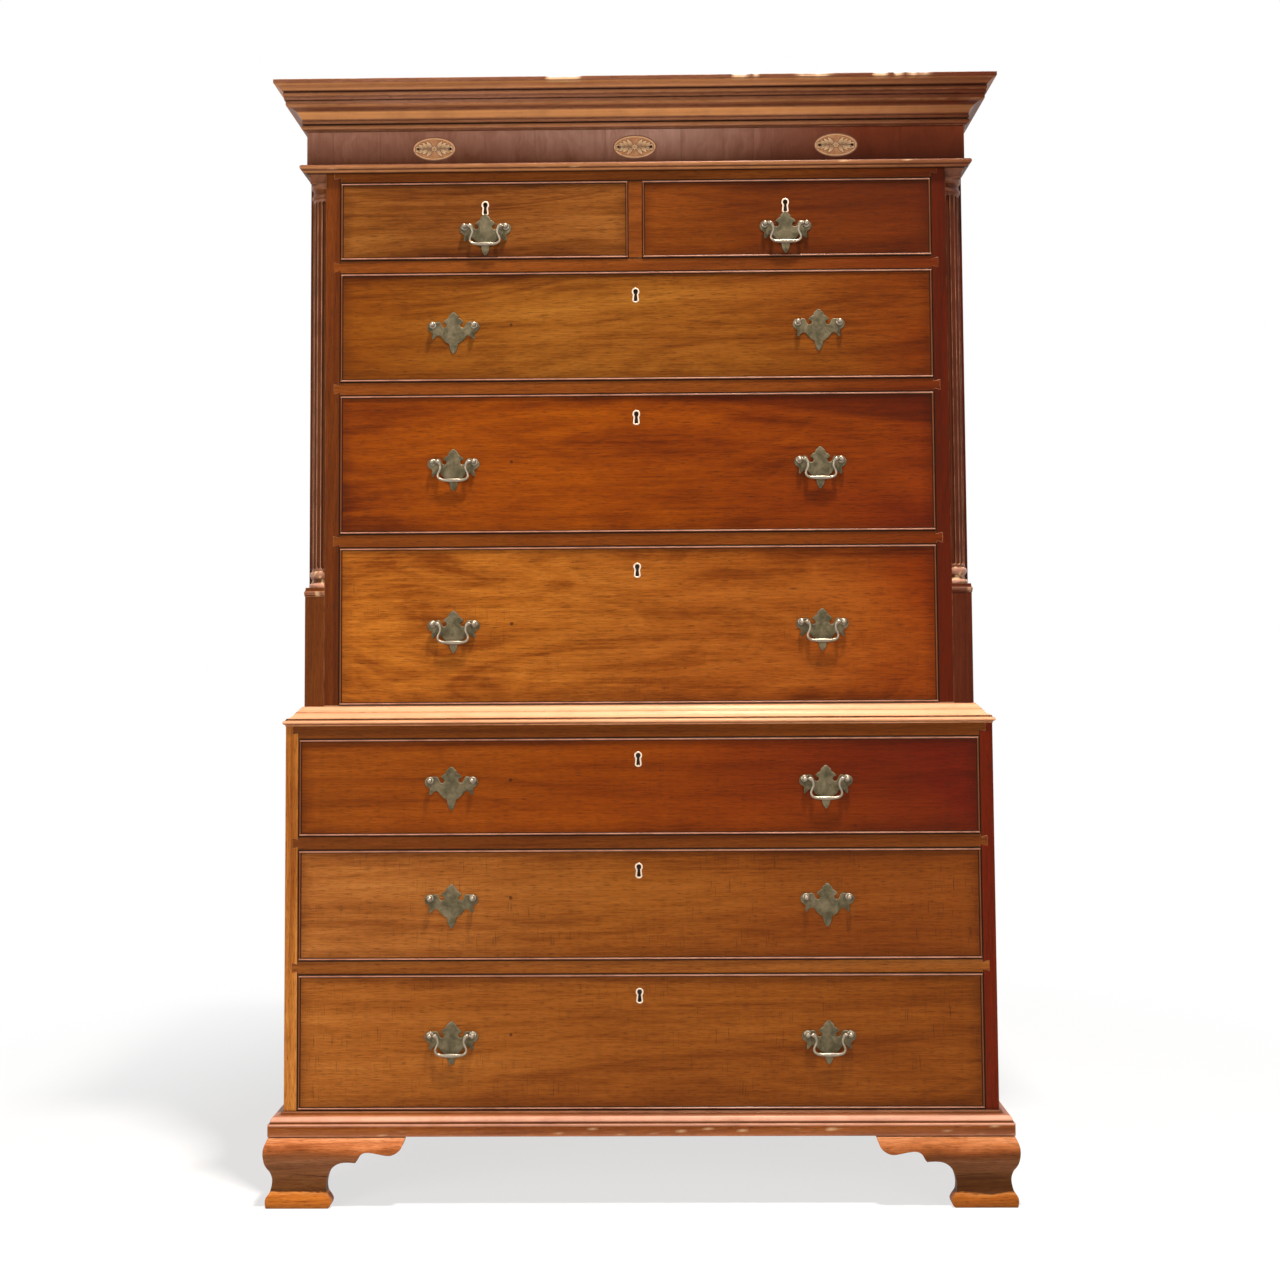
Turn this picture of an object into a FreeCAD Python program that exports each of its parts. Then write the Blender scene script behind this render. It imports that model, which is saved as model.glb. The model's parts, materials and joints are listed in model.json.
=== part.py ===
import FreeCAD, Part
import math
import os
import re

import Sketcher

# A chest on chest: a narrower upper case standing on a lower case, eight drawers with cock beads,
# fluted quarter columns, a frieze and cornice, and ogee bracket feet.
# Millimetres, +Z up, the front faces -Y, the origin is at floor level in the middle of the plan.

doc = FreeCAD.newDocument("chest_on_chest")
sheet = doc.addObject("Spreadsheet::Sheet", "Sizes")

SIZES = {
    "lower_wide": (1100, "width of the lower case"),
    "lower_deep": (545, "depth of the lower case"),
    "foot_reach": (26, "how far the feet stand out from the lower case"),
    "case_step": (23.3, "step in from the lower case to the upper case, front and sides"),
    "foot_tall": (107, "height of the feet"),
    "base_rail_tall": (34.6, "bottom rail of the lower case"),
    "rail_tall": (21.4, "rails between the drawers"),
    "lower_open_c": (206, "opening of the bottom drawer"),
    "lower_open_b": (170, "opening of the middle lower drawer"),
    "lower_open_a": (150.5, "opening of the top lower drawer"),
    "lower_head_tall": (31.1, "top rail of the lower case"),
    "upper_floor_tall": (20.5, "bottom board of the upper case"),
    "upper_open_c": (249, "opening of the deepest upper drawer"),
    "upper_open_b": (221.7, "opening of the middle upper drawer"),
    "upper_open_a": (175.2, "opening of the first long upper drawer"),
    "short_open": (125.7, "opening of the two short drawers"),
    "upper_head_tall": (29.7, "top rail of the upper case"),
    "frieze_tall": (54, "frieze below the cornice"),
    "cornice_tall": (71, "cornice"),
    "cornice_reach": (44.5, "how far the cornice stands out"),
    "frame_rise": (56, "frieze boards behind the cornice"),
    "frieze_thick": (20, "frieze boards"),
    "top_thick": (18, "top board"),
    "lower_side_thick": (20.9, "side boards of the lower case"),
    "upper_side_thick": (20, "side boards of the upper case"),
    "notch": (31, "square notch for each quarter column"),
    "stile_wide": (23.5, "stile beside each quarter column"),
    "stile_deep": (46, "depth of the stile"),
    "muntin_wide": (21.6, "upright between the short drawers"),
    "rail_deep": (65, "depth of the rails"),
    "tongue_long": (10, "dovetail on each rail end"),
    "tongue_tip": (16, "height of the rail dovetail at its end"),
    "tongue_root": (11, "height of the rail dovetail at its shoulder"),
    "floor_thick": (18, "bottom board of the lower case"),
    "lid_thick": (15, "top board of the lower case"),
    "back_thick": (10, "back boards"),
    "dust_thick": (6, "dust boards"),
    "runner_wide": (32, "drawer runners"),
    "guide_tall": (20, "drawer guides"),
    "stop_tall": (5, "drawer stops"),
    "stop_wide": (40, "drawer stops"),
    "stop_deep": (14, "drawer stops"),
    "stop_gap": (0.3, "clearance between a stop and the drawer front"),
    "drawer_gap": (0.8, "clearance around each drawer"),
    "run_gap": (0.3, "clearance of the drawer sides above the runners"),
    "rear_gap": (15, "room behind each drawer"),
    "front_thick": (20, "drawer fronts"),
    "drawer_side": (10, "drawer sides and backs"),
    "side_drop": (4, "drawer sides below the top of the front"),
    "panel_thick": (7, "drawer bottoms"),
    "panel_rise": (8, "drawer bottoms above the lower edge"),
    "groove": (4, "grooves that hold the drawer bottoms"),
    "tail_long": (8, "dovetails of the drawer sides"),
    "tail_top": (12, "top dovetail below the opening top"),
    "bead_thick": (3, "cock beads"),
    "bead_proud": (2, "cock beads in front of the drawer front"),
    "bead_deep": (10, "rebate that holds the cock beads"),
    "handle_out": (291, "handles of the long drawers from the middle"),
    "short_out": (240, "handles and locks of the short drawers from the middle"),
    "short_shift": (-10.5, "handle line of the short drawers from mid height"),
    "upper_shift": (3, "handle line of the long upper drawers from mid height"),
    "lower_shift": (10.5, "handle line of the lower drawers from mid height"),
    "short_key_drop": (43, "keyhole below the opening top, short drawers"),
    "upper_key_drop": (38.5, "keyhole below the opening top, upper drawers"),
    "lower_key_drop": (33.5, "keyhole below the opening top, lower drawers"),
    "post_gap": (66, "spacing of the two posts of a handle"),
    "post_half": (2.5, "half the square shank of a post"),
    "post_slack": (0.1, "clearance of a post in its holes"),
    "knob_radius": (4.4, "ball of a post"),
    "knob_out": (8, "ball centre in front of the drawer front"),
    "pin_radius": (1.3, "pins of the bail"),
    "pin_slack": (0.08, "clearance of a bail pin in its bore"),
    "pin_tip": (1.4, "end of a bail pin inside the outer face of its post"),
    "bail_gap": (1, "clearance of a bail beside its posts"),
    "plate_wide": (88, "handle plates"),
    "plate_tall": (67, "handle plates"),
    "plate_thick": (1.5, "handle plates"),
    "bail_drop": (29.5, "bails below the posts"),
    "bail_radius": (2.1, "wire of the bails"),
    "nut_half": (6, "half the square nuts behind the drawer front"),
    "nut_thick": (4, "nuts behind the drawer front"),
    "key_tall": (17.5, "keyholes"),
    "key_wide": (4.8, "keyholes"),
    "rim_wide": (2.6, "brass rims of the keyholes"),
    "rim_proud": (0.3, "brass rims in front of the drawer front"),
    "lock_wide": (60, "lock cases"),
    "lock_thick": (9, "lock cases"),
    "lock_below": (14, "lock case below the keyhole"),
    "bolt_wide": (16, "lock bolts"),
    "bolt_thick": (5, "lock bolts"),
    "bolt_long": (20, "lock bolts"),
    "bolt_slack": (0.15, "clearance of a bolt in its channel"),
    "bolt_rest": (0.2, "bolt below the top of its lock when drawn back"),
    "bolt_throw": (8, "travel of a bolt"),
    "mortise_spare": (2, "depth of a mortise beyond the travel of its bolt"),
    "lock_plate": (2, "metal left behind the key recess of a lock"),
    "shaft_radius": (26.5, "quarter columns"),
    "ring_radius": (30.5, "rings of the quarter columns"),
    "flute_deep": (2.6, "flutes of the quarter columns"),
    "flute_start": (31, "flutes above the foot of the column"),
    "flute_end": (28, "flutes below the head of the column"),
    "plinth_tall": (193, "plinth block below each quarter column"),
    "plinth_cap": (14, "moulded cap of the plinth block"),
    "cap_proud": (1.2, "cap in front of its block"),
    "abacus_tall": (28, "block above each quarter column"),
    "neck_tall": (14, "necking moulding"),
    "neck_reach": (10, "necking moulding"),
    "waist_rise": (19, "waist moulding above the lower case"),
    "waist_lap": (11, "waist moulding down the face of the lower case"),
    "waist_reach": (4.7, "nosing of the waist moulding"),
    "base_reach": (20, "base moulding"),
    "foot_span": (216, "length of each foot facing"),
    "foot_pad": (17, "pad under each foot"),
    "block_wide": (44, "glue blocks inside the feet"),
    "block_small": (20, "glue blocks along the facings"),
    "bracket_thick": (16, "plain rear brackets"),
    "inlay_wide": (70, "oval inlays of the frieze"),
    "inlay_tall": (39, "oval inlays of the frieze"),
    "inlay_deep": (1.5, "oval inlays of the frieze"),
    "inlay_out": (322, "outer inlays from the middle"),
    "inlay_rise": (25, "inlay centres above the necking"),
    "planks": (5, "back boards of each case"),
    "over": (1, "how far a cut starts outside what it cuts"),
}

DERIVED = {
    "back": "(lower_deep + foot_reach)/2",
    "low_front": "(foot_reach - lower_deep)/2",
    "low_half": "lower_wide/2",
    "low_open": "low_half - lower_side_thick",
    "up_front": "low_front + case_step",
    "up_half": "low_half - case_step",
    "up_inner": "up_half - upper_side_thick",
    "notch_x": "up_half - notch",
    "notch_y": "up_front + notch",
    "up_open": "notch_x - stile_wide",
    "back_in": "back - back_thick",
    "floor_c": "foot_tall + base_rail_tall",
    "floor_b": "floor_c + lower_open_c + rail_tall",
    "floor_a": "floor_b + lower_open_b + rail_tall",
    "low_head": "floor_a + lower_open_a",
    "low_top": "low_head + lower_head_tall",
    "up_floor_c": "low_top + upper_floor_tall",
    "up_floor_b": "up_floor_c + upper_open_c + rail_tall",
    "up_floor_a": "up_floor_b + upper_open_b + rail_tall",
    "short_floor": "up_floor_a + upper_open_a + rail_tall",
    "up_head": "short_floor + short_open",
    "up_top": "up_head + upper_head_tall",
    "frieze_top": "up_top + frieze_tall",
    "all_top": "frieze_top + cornice_tall",
    "frame_top": "frieze_top + frame_rise",
    "low_long": "back_in - low_front - rear_gap",
    "up_long": "back_in - up_front - rear_gap",
    "column_foot": "low_top + plinth_tall + plinth_cap",
    "column_head": "up_top - abacus_tall",
    "foot_x": "low_half + foot_reach",
    "foot_y": "low_front - foot_reach",
}

NAMES = re.compile(r"\b(" + "|".join(list(SIZES) + list(DERIVED)) + r")\b")

for row, (alias, (value, meaning)) in enumerate(SIZES.items(), 1):
    sheet.set("A%d" % row, alias)
    sheet.set("B%d" % row, str(value))
    sheet.set("C%d" % row, meaning)
    sheet.setAlias("B%d" % row, alias)
for row, (alias, rule) in enumerate(DERIVED.items(), len(SIZES) + 1):
    sheet.set("A%d" % row, alias)
    sheet.set("B%d" % row, "=" + rule)
    sheet.setAlias("B%d" % row, alias)
doc.recompute()


# ---- small tools for sizes, boards, outlines and features ----

def formula(rule):
    """The rule with every size name pointing at the sheet."""
    return NAMES.sub(r"Sizes.\1", str(rule))


def number(rule):
    """The present value of a rule."""
    return float(sheet.evalExpression(formula(rule)))


def board(name, x, y, z):
    """A plain board between pairs of positions."""
    box = doc.addObject("Part::Box", name)
    sides = zip("xyz", ("Length", "Width", "Height"), (x, y, z))
    for axis, size, (low, high) in sides:
        box.setExpression("Placement.Base." + axis, formula(low))
        box.setExpression(size, formula("(%s) - (%s)" % (high, low)))
    return box


def mirrored(source, name):
    """The same piece on the other side of the middle."""
    other = doc.addObject("Part::Mirroring", name)
    other.Source = source
    other.Normal = (1, 0, 0)
    return other


def pair(source, name):
    """A right-hand piece with its left-hand twin."""
    return [source, mirrored(source, name)]


def placed(source, name, x, y, z):
    """The same piece again at another place."""
    link = doc.addObject("App::Link", name)
    link.LinkedObject = source
    for axis, rule in zip("xyz", (x, y, z)):
        link.setExpression("Placement.Base." + axis, formula(rule))
    return link


nodes = []


def node(label, members):
    """A sub-part made of the given pieces, written to its own file."""
    whole = doc.addObject("Part::Compound", label)
    whole.Links = members
    whole.Label = label
    nodes.append(whole)
    return whole


def corner_position(corner):
    return number(corner[0]), number(corner[1])


def edge_between(start, corner, finish):
    """A line, or an arc when the corner carries a bulge."""
    ends = FreeCAD.Vector(*start, 0), FreeCAD.Vector(*finish, 0)
    if len(corner) == 2:
        return Part.LineSegment(*ends)
    across, along = finish[0] - start[0], finish[1] - start[1]
    middle = (ends[0] + ends[1]) / 2 + FreeCAD.Vector(along, -across, 0) * (corner[2] / 2)
    return Part.Arc(ends[0], middle, ends[1])


def radius_rule(before, corner):
    """Radius of the arc from its chord and bulge."""
    bulge = corner[2]
    share = (1 + bulge * bulge) / (4 * abs(bulge))
    chord = "sqrt(((%s) - (%s))^2 + ((%s) - (%s))^2)" % (corner[0], before[0], corner[1], before[1])
    return "%s*%.6f" % (chord, share)


def bind(sketch, sizes):
    """Sizes in the sketch bound to their rules, each given as kind, items and rule."""
    first = sketch.ConstraintCount
    sketch.addConstraint([Sketcher.Constraint(kind, *items, number(rule)) for kind, items, rule in sizes])
    for index, (_, _, rule) in enumerate(sizes, first):
        name = "size%d" % index
        sketch.renameConstraint(index, name)
        sketch.setExpression("Constraints." + name, formula(rule))


def outline(sketch, corners, closed=True):
    """Lines and arcs through the corners. A third entry in a corner is the bulge of the arc that
    ends there, positive for an arc that turns left."""
    first = sketch.GeometryCount
    spots = [corner_position(corner) for corner in corners]
    steps = range(0 if closed else 1, len(corners))
    edges = [edge_between(spots[step - 1], corners[step], spots[step]) for step in steps]
    sketch.addGeometry(edges, False)
    turned = [len(corners[step]) > 2 and corners[step][2] < 0 for step in steps]
    starts = [2 if back else 1 for back in turned]
    finishes = [1 if back else 2 for back in turned]
    joints = []
    for place in range(0 if closed else 1, len(edges)):
        before = (place - 1) % len(edges)
        joints.append(Sketcher.Constraint("Coincident", first + before, finishes[before],
                                          first + place, starts[place]))
    sketch.addConstraint(joints)
    sizes = []
    for place, step in enumerate(steps):
        tip = (-1, 1, first + place, finishes[place])
        sizes.append(("DistanceX", tip, corners[step][0]))
        sizes.append(("DistanceY", tip, corners[step][1]))
        if len(corners[step]) == 3:
            sizes.append(("Radius", (first + place,), radius_rule(corners[step - 1], corners[step])))
    if not closed:
        sizes.append(("DistanceX", (-1, 1, first, starts[0]), corners[0][0]))
        sizes.append(("DistanceY", (-1, 1, first, starts[0]), corners[0][1]))
    bind(sketch, sizes)


def body(name):
    return doc.addObject("PartDesign::Body", name)


def sketch_on(owner, name, plane, offset, outlines):
    """A sketch on one of the body's own planes, moved along the plane's normal."""
    sketch = owner.newObject("Sketcher::SketchObject", name)
    face = next(item for item in owner.Origin.OriginFeatures if item.Role == plane)
    sketch.AttachmentSupport = [(face, "")]
    sketch.MapMode = "FlatFace"
    sketch.setExpression("AttachmentOffset.Base.z", formula(offset))
    for corners in outlines:
        outline(sketch, corners)
    return sketch


def pad(owner, sketch, length):
    """Material from the sketch along its normal."""
    feature = owner.newObject("PartDesign::Pad", sketch.Name + "_pad")
    feature.Profile = sketch
    feature.setExpression("Length", formula(length))
    return feature


def cut(owner, sketch, length, forward=True):
    """A cut from the sketch, along its normal when forward."""
    feature = owner.newObject("PartDesign::Pocket", sketch.Name + "_cut")
    feature.Profile = sketch
    feature.Reversed = forward
    feature.setExpression("Length", formula(length))
    return feature


def rectangle(x, y):
    return [(x[0], y[0]), (x[1], y[0]), (x[1], y[1]), (x[0], y[1])]


def minus(rule):
    return "-(%s)" % rule


# ---- rails and their dovetail housings ----

def tongue(x, middle, outward):
    """Dovetail of a rail end, seen from the front: shoulder at x, end beyond it."""
    end = "%s %s tongue_long" % (x, outward)
    return [
        (x, "%s - tongue_root/2" % middle),
        (end, "%s - tongue_tip/2" % middle),
        (end, "%s + tongue_tip/2" % middle),
        (x, "%s + tongue_root/2" % middle),
    ]


def rail(name, half, front, low, high, bolts=()):
    """A front rail with a dovetail at each end and mortises for the bolts below it."""
    middle = "(%s + %s)/2" % (low, high)
    owner = body(name)
    right = tongue(half, middle, "+")
    left = tongue("-" + half, middle, "-")
    shape = [("-" + half, low), (half, low)] + right + [(half, high), ("-" + half, high)] + left[::-1]
    face = sketch_on(owner, name + "_face", "XZ_Plane", minus(front + " + rail_deep"), [shape])
    pad(owner, face, "rail_deep")
    if bolts:
        start = "%s + front_thick - (lock_thick + bolt_thick)/2 - 2*bolt_slack" % front
        finish = "%s + front_thick - (lock_thick - bolt_thick)/2 + 2*bolt_slack" % front
        width = "(bolt_wide/2 + 2*bolt_slack)"
        slots = []
        for place in bolts:
            slots.append(rectangle(("%s - %s" % (place, width), "%s + %s" % (place, width)),
                                   (start, finish)))
        cut(owner, sketch_on(owner, name + "_mortise", "XY_Plane", low, slots), "bolt_throw + mortise_spare")
    return owner


def housings(owner, name, x, front, levels):
    """Dovetail sockets for the rails in the front edge of an upright."""
    shapes = [tongue(x, "(%s + %s)/2" % level, "+") for level in levels]
    sockets = sketch_on(owner, name, "XZ_Plane", minus(front), shapes)
    cut(owner, sockets, "rail_deep", forward=False)


LOW_RAILS = [
    ("base", "foot_tall", "floor_c"),
    ("second", "floor_b - rail_tall", "floor_b"),
    ("third", "floor_a - rail_tall", "floor_a"),
    ("head", "low_head", "low_top"),
]
UP_RAILS = [
    ("second", "up_floor_b - rail_tall", "up_floor_b"),
    ("third", "up_floor_a - rail_tall", "up_floor_a"),
    ("fourth", "short_floor - rail_tall", "short_floor"),
    ("head", "up_head", "up_top"),
]


# ---- lower case ----

def case_side(name, inner, thick, front, bottom, top, levels):
    """A side board with sockets for the rails."""
    owner = body(name)
    face = rectangle((front, "back"), (bottom, top))
    pad(owner, sketch_on(owner, name + "_face", "YZ_Plane", inner, [face]), thick)
    if levels:
        housings(owner, name + "_sockets", inner, front, levels)
    return owner


def back_planks(name, half, low, high):
    """Upright back boards side by side."""
    boards = []
    count = int(number("planks"))
    for place in range(count):
        x = ["-%s + 2*%s*%d/%d" % (half, half, step, count) for step in (place, place + 1)]
        boards.append(board("%s_%d" % (name, place), x, ("back_in", "back"), (low, high)))
    return boards


levels = [(low, high) for _, low, high in LOW_RAILS]
low_side = case_side("low_side", "low_open", "lower_side_thick", "low_front", "foot_tall", "low_top",
                     levels)
node("lower_sides", pair(low_side, "low_side_left"))

rails = []
for title, low, high in LOW_RAILS:
    locked = () if title == "base" else ("0",)
    rails.append(rail("low_rail_" + title, "low_open", "low_front", low, high, locked))
node("lower_rails", rails)

behind = ("low_front + rail_deep", "back_in")
node("lower_boards", [
    board("low_bottom", ("-low_open", "low_open"), behind, ("foot_tall", "foot_tall + floor_thick")),
    board("low_lid", ("-low_open", "low_open"), behind, ("low_top - lid_thick", "low_top")),
])
node("lower_back", back_planks("low_plank", "low_open", "foot_tall", "low_top"))


def stops(name, floor, front, places):
    """Small blocks on a rail that meet the back of the drawer front."""
    start = "%s + front_thick + stop_gap" % front
    made = []
    for count, place in enumerate(places):
        x = ("%s - stop_wide/2" % place, "%s + stop_wide/2" % place)
        y = (start, "%s + stop_deep" % start)
        made.append(board("%s_%d" % (name, count), x, y, (floor, "%s + stop_tall" % floor)))
    return made


def dust_board(name, x, y, floor):
    """Thin board between two drawers, level with the middle of the rail."""
    low = "%s - (rail_tall + dust_thick)/2" % floor
    return board(name, x, y, (low, "%s + dust_thick" % low))


pieces = []
low_bed = {"floor_c": "foot_tall + floor_thick", "floor_b": "floor_b - rail_tall",
           "floor_a": "floor_a - rail_tall"}
for floor, bed in low_bed.items():
    run = board("low_run_" + floor, ("low_open - runner_wide", "low_open"), behind, (bed, floor))
    pieces += pair(run, "low_run_left_" + floor)
    pieces += stops("low_stop_" + floor, floor, "low_front", ("-handle_out", "handle_out"))
    if floor != "floor_c":
        inside = ("-low_open + runner_wide", "low_open - runner_wide")
        pieces.append(dust_board("low_dust_" + floor, inside, behind, floor))
node("lower_runners", pieces)


# ---- upper case ----

up_side = case_side("up_side", "up_inner", "upper_side_thick", "notch_y", "low_top", "up_top", ())
stile = body("up_stile")
plan = [("up_open", "up_front"), ("notch_x", "up_front"), ("notch_x", "notch_y"),
        ("up_inner", "notch_y"), ("up_inner", "up_front + stile_deep"),
        ("up_open", "up_front + stile_deep")]
pad(stile, sketch_on(stile, "up_stile_plan", "XY_Plane", "up_floor_c", [plan]), "up_top - up_floor_c")
housings(stile, "up_stile_sockets", "up_open", "up_front", [(low, high) for _, low, high in UP_RAILS])
node("upper_sides", pair(up_side, "up_side_left") + pair(stile, "up_stile_left"))

rails = []
UP_LOCKS = {"second": ("0",), "third": ("0",), "fourth": ("0",), "head": ("-short_out", "short_out")}
for title, low, high in UP_RAILS:
    rails.append(rail("up_rail_" + title, "up_open", "up_front", low, high, UP_LOCKS[title]))
rails.append(board("up_muntin", ("-muntin_wide/2", "muntin_wide/2"),
                   ("up_front", "up_front + rail_deep"), ("short_floor", "up_head")))
node("upper_rails", rails)

# The bottom board is notched at its front corners for the plinth blocks.
up_bottom = body("up_bottom")
plan = [("-notch_x", "up_front"), ("notch_x", "up_front"), ("notch_x", "notch_y"),
        ("up_inner", "notch_y"), ("up_inner", "back_in"), ("-up_inner", "back_in"),
        ("-up_inner", "notch_y"), ("-notch_x", "notch_y")]
pad(up_bottom, sketch_on(up_bottom, "up_bottom_plan", "XY_Plane", "low_top", [plan]),
    "upper_floor_tall")
frame_in = "up_half - frieze_thick"
node("upper_boards", [
    up_bottom,
    board("up_lid", (minus(frame_in), frame_in), ("up_front + frieze_thick", "back_in"),
          ("frame_top - top_thick", "frame_top")),
])
node("upper_back", back_planks("up_plank", "up_inner", "low_top", "frame_top"))

behind = ("up_front + rail_deep", "back_in")
runner_in = "up_open - runner_wide"
pieces = []
for floor in ("up_floor_c", "up_floor_b", "up_floor_a", "short_floor"):
    guide = board("guide_" + floor, ("up_open", "up_inner"), behind,
                  (floor, "%s + guide_tall" % floor))
    pieces += pair(guide, "guide_left_" + floor)
    if floor == "short_floor":
        inner = "muntin_wide/2 + runner_wide"
        places = ("-short_out", "short_out")
        pieces.append(board("centre_run", (minus(inner), inner), behind,
                            ("short_floor - rail_tall", "short_floor")))
        pieces.append(board("centre_guide", ("-muntin_wide/2", "muntin_wide/2"), behind,
                            ("short_floor", "short_floor + guide_tall")))
        dust = dust_board("up_dust_short", (inner, runner_in), behind, floor)
        pieces += pair(dust, "up_dust_short_left")
    else:
        places = ("-handle_out", "handle_out")
        if floor != "up_floor_c":
            pieces.append(dust_board("up_dust_" + floor, (minus(runner_in), runner_in), behind, floor))
    if floor != "up_floor_c":
        run = board("run_" + floor, (runner_in, "up_inner"), behind,
                    ("%s - rail_tall" % floor, floor))
        pieces += pair(run, "run_left_" + floor)
    pieces += stops("up_stop_" + floor, floor, "up_front", places)
node("upper_runners", pieces)


# ---- mouldings: a front length and two returns, mitred at the corners ----

def along_front(profile, front):
    """The profile turned to lie across the front."""
    return [("%s - (%s)" % (front, corner[0]), corner[1]) + tuple(-bulge for bulge in corner[2:])
            for corner in profile]


def along_side(profile, side):
    """The profile turned to lie along the right side."""
    return [("%s + (%s)" % (side, corner[0]), corner[1]) + corner[2:] for corner in profile]


def mitre(front, side, inset, reach, keep_front):
    """The waste beside a 45 degree cut, seen from above: behind it to keep the front length."""
    inner = ("%s - (%s)" % (side, inset), "%s + (%s)" % (front, inset))
    outer = ("%s + (%s)" % (side, reach), "%s - (%s)" % (front, reach))
    third = (outer[0], inner[1]) if keep_front else (inner[0], outer[1])
    return [inner, outer, third]


def other_end(corners):
    """The same outline on the left."""
    return [("-(%s)" % x, y) for x, y in corners]


def moulding(name, profile, front, side, inset, reach, low, tall):
    """Three lengths of one profile; inset and reach bound it inside and outside the face."""
    room = "%s + 2*over" % reach
    under = "%s - over" % low
    height = "%s + 2*over" % tall
    length = body(name + "_front")
    start = "-(%s) - (%s)" % (side, reach)
    pad(length, sketch_on(length, name + "_front_face", "YZ_Plane", start,
                          [along_front(profile, front)]), "2*((%s) + (%s))" % (side, reach))
    corner = mitre(front, side, inset, room, True)
    cut(length, sketch_on(length, name + "_mitres", "XY_Plane", under,
                          [corner, other_end(corner)]), height)
    back_end = body(name + "_return")
    pad(back_end, sketch_on(back_end, name + "_return_face", "XZ_Plane", minus("back"),
                            [along_side(profile, side)]), "back - (%s) + (%s)" % (front, reach))
    cut(back_end, sketch_on(back_end, name + "_return_mitre", "XY_Plane", under,
                            [mitre(front, side, inset, room, False)]), height)
    return [length] + pair(back_end, name + "_return_left")


def lift(base, share, whole):
    return "%s + %s*%s" % (base, whole, share)


def out(share, whole):
    return "%s*%s" % (whole, share)


# Square fillet on the case, an ogee, a bead and a flat fascia.
BASE = [
    ("0", "foot_tall"),
    (out(1, "base_reach"), "foot_tall"),
    (out(1, "base_reach"), lift("foot_tall", 0.53, "base_rail_tall")),
    (out(0.95, "base_reach"), lift("foot_tall", 0.56, "base_rail_tall")),
    (out(0.84, "base_reach"), lift("foot_tall", 0.56, "base_rail_tall")),
    (out(0.82, "base_reach"), lift("foot_tall", 0.66, "base_rail_tall")),
    (out(0.6, "base_reach"), lift("foot_tall", 0.84, "base_rail_tall"), 0.28),
    (out(0.15, "base_reach"), lift("foot_tall", 0.9, "base_rail_tall"), -0.15),
    (out(0.15, "base_reach"), lift("foot_tall", 0.97, "base_rail_tall")),
    ("0", lift("foot_tall", 0.97, "base_rail_tall")),
]
node("base_moulding", moulding("base", BASE, "low_front", "low_half", "0", "base_reach",
                               "foot_tall", "base_rail_tall"))

# Top fillet, a cove falling outwards, a step, the nosing and a fillet under it.
WAIST = [
    ("-case_step", "low_top"),
    ("0", "low_top"),
    ("0", "low_top - waist_lap"),
    (out(0.2, "waist_reach"), "low_top - waist_lap"),
    (out(0.2, "waist_reach"), lift("low_top", -0.75, "waist_lap")),
    (out(0.8, "waist_reach"), lift("low_top", -0.65, "waist_lap")),
    (out(1, "waist_reach"), lift("low_top", -0.42, "waist_lap")),
    (out(0.85, "waist_reach"), lift("low_top", -0.15, "waist_lap")),
    (out(0.3, "waist_reach"), lift("low_top", 0.02, "waist_rise")),
    (out(-0.1, "case_step"), lift("low_top", 0.1, "waist_rise")),
    (out(-0.24, "case_step"), lift("low_top", 0.12, "waist_rise")),
    (out(-0.8, "case_step"), lift("low_top", 0.9, "waist_rise"), -0.12),
    (out(-0.88, "case_step"), lift("low_top", 0.92, "waist_rise")),
    (out(-0.88, "case_step"), lift("low_top", 1, "waist_rise")),
    ("-case_step", lift("low_top", 1, "waist_rise")),
]
node("waist_moulding", moulding("waist", WAIST, "low_front", "low_half", "case_step", "waist_reach",
                                "low_top - waist_lap", "waist_lap + waist_rise"))

# A band, a rounded bead above it and a small slope back to the frieze.
NECK = [
    ("0", "up_top - neck_tall"),
    (out(0.46, "neck_reach"), "up_top - neck_tall"),
    (out(0.46, "neck_reach"), lift("up_top", -0.8, "neck_tall")),
    (out(0.66, "neck_reach"), lift("up_top", -0.7, "neck_tall")),
    (out(0.92, "neck_reach"), lift("up_top", -0.58, "neck_tall")),
    (out(1, "neck_reach"), lift("up_top", -0.38, "neck_tall")),
    (out(0.92, "neck_reach"), lift("up_top", -0.18, "neck_tall")),
    (out(0.7, "neck_reach"), lift("up_top", -0.08, "neck_tall")),
    ("0", "up_top"),
]
necking = moulding("neck", NECK, "up_front", "up_half", "0", "neck_reach", "up_top - neck_tall",
                   "neck_tall")

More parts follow.
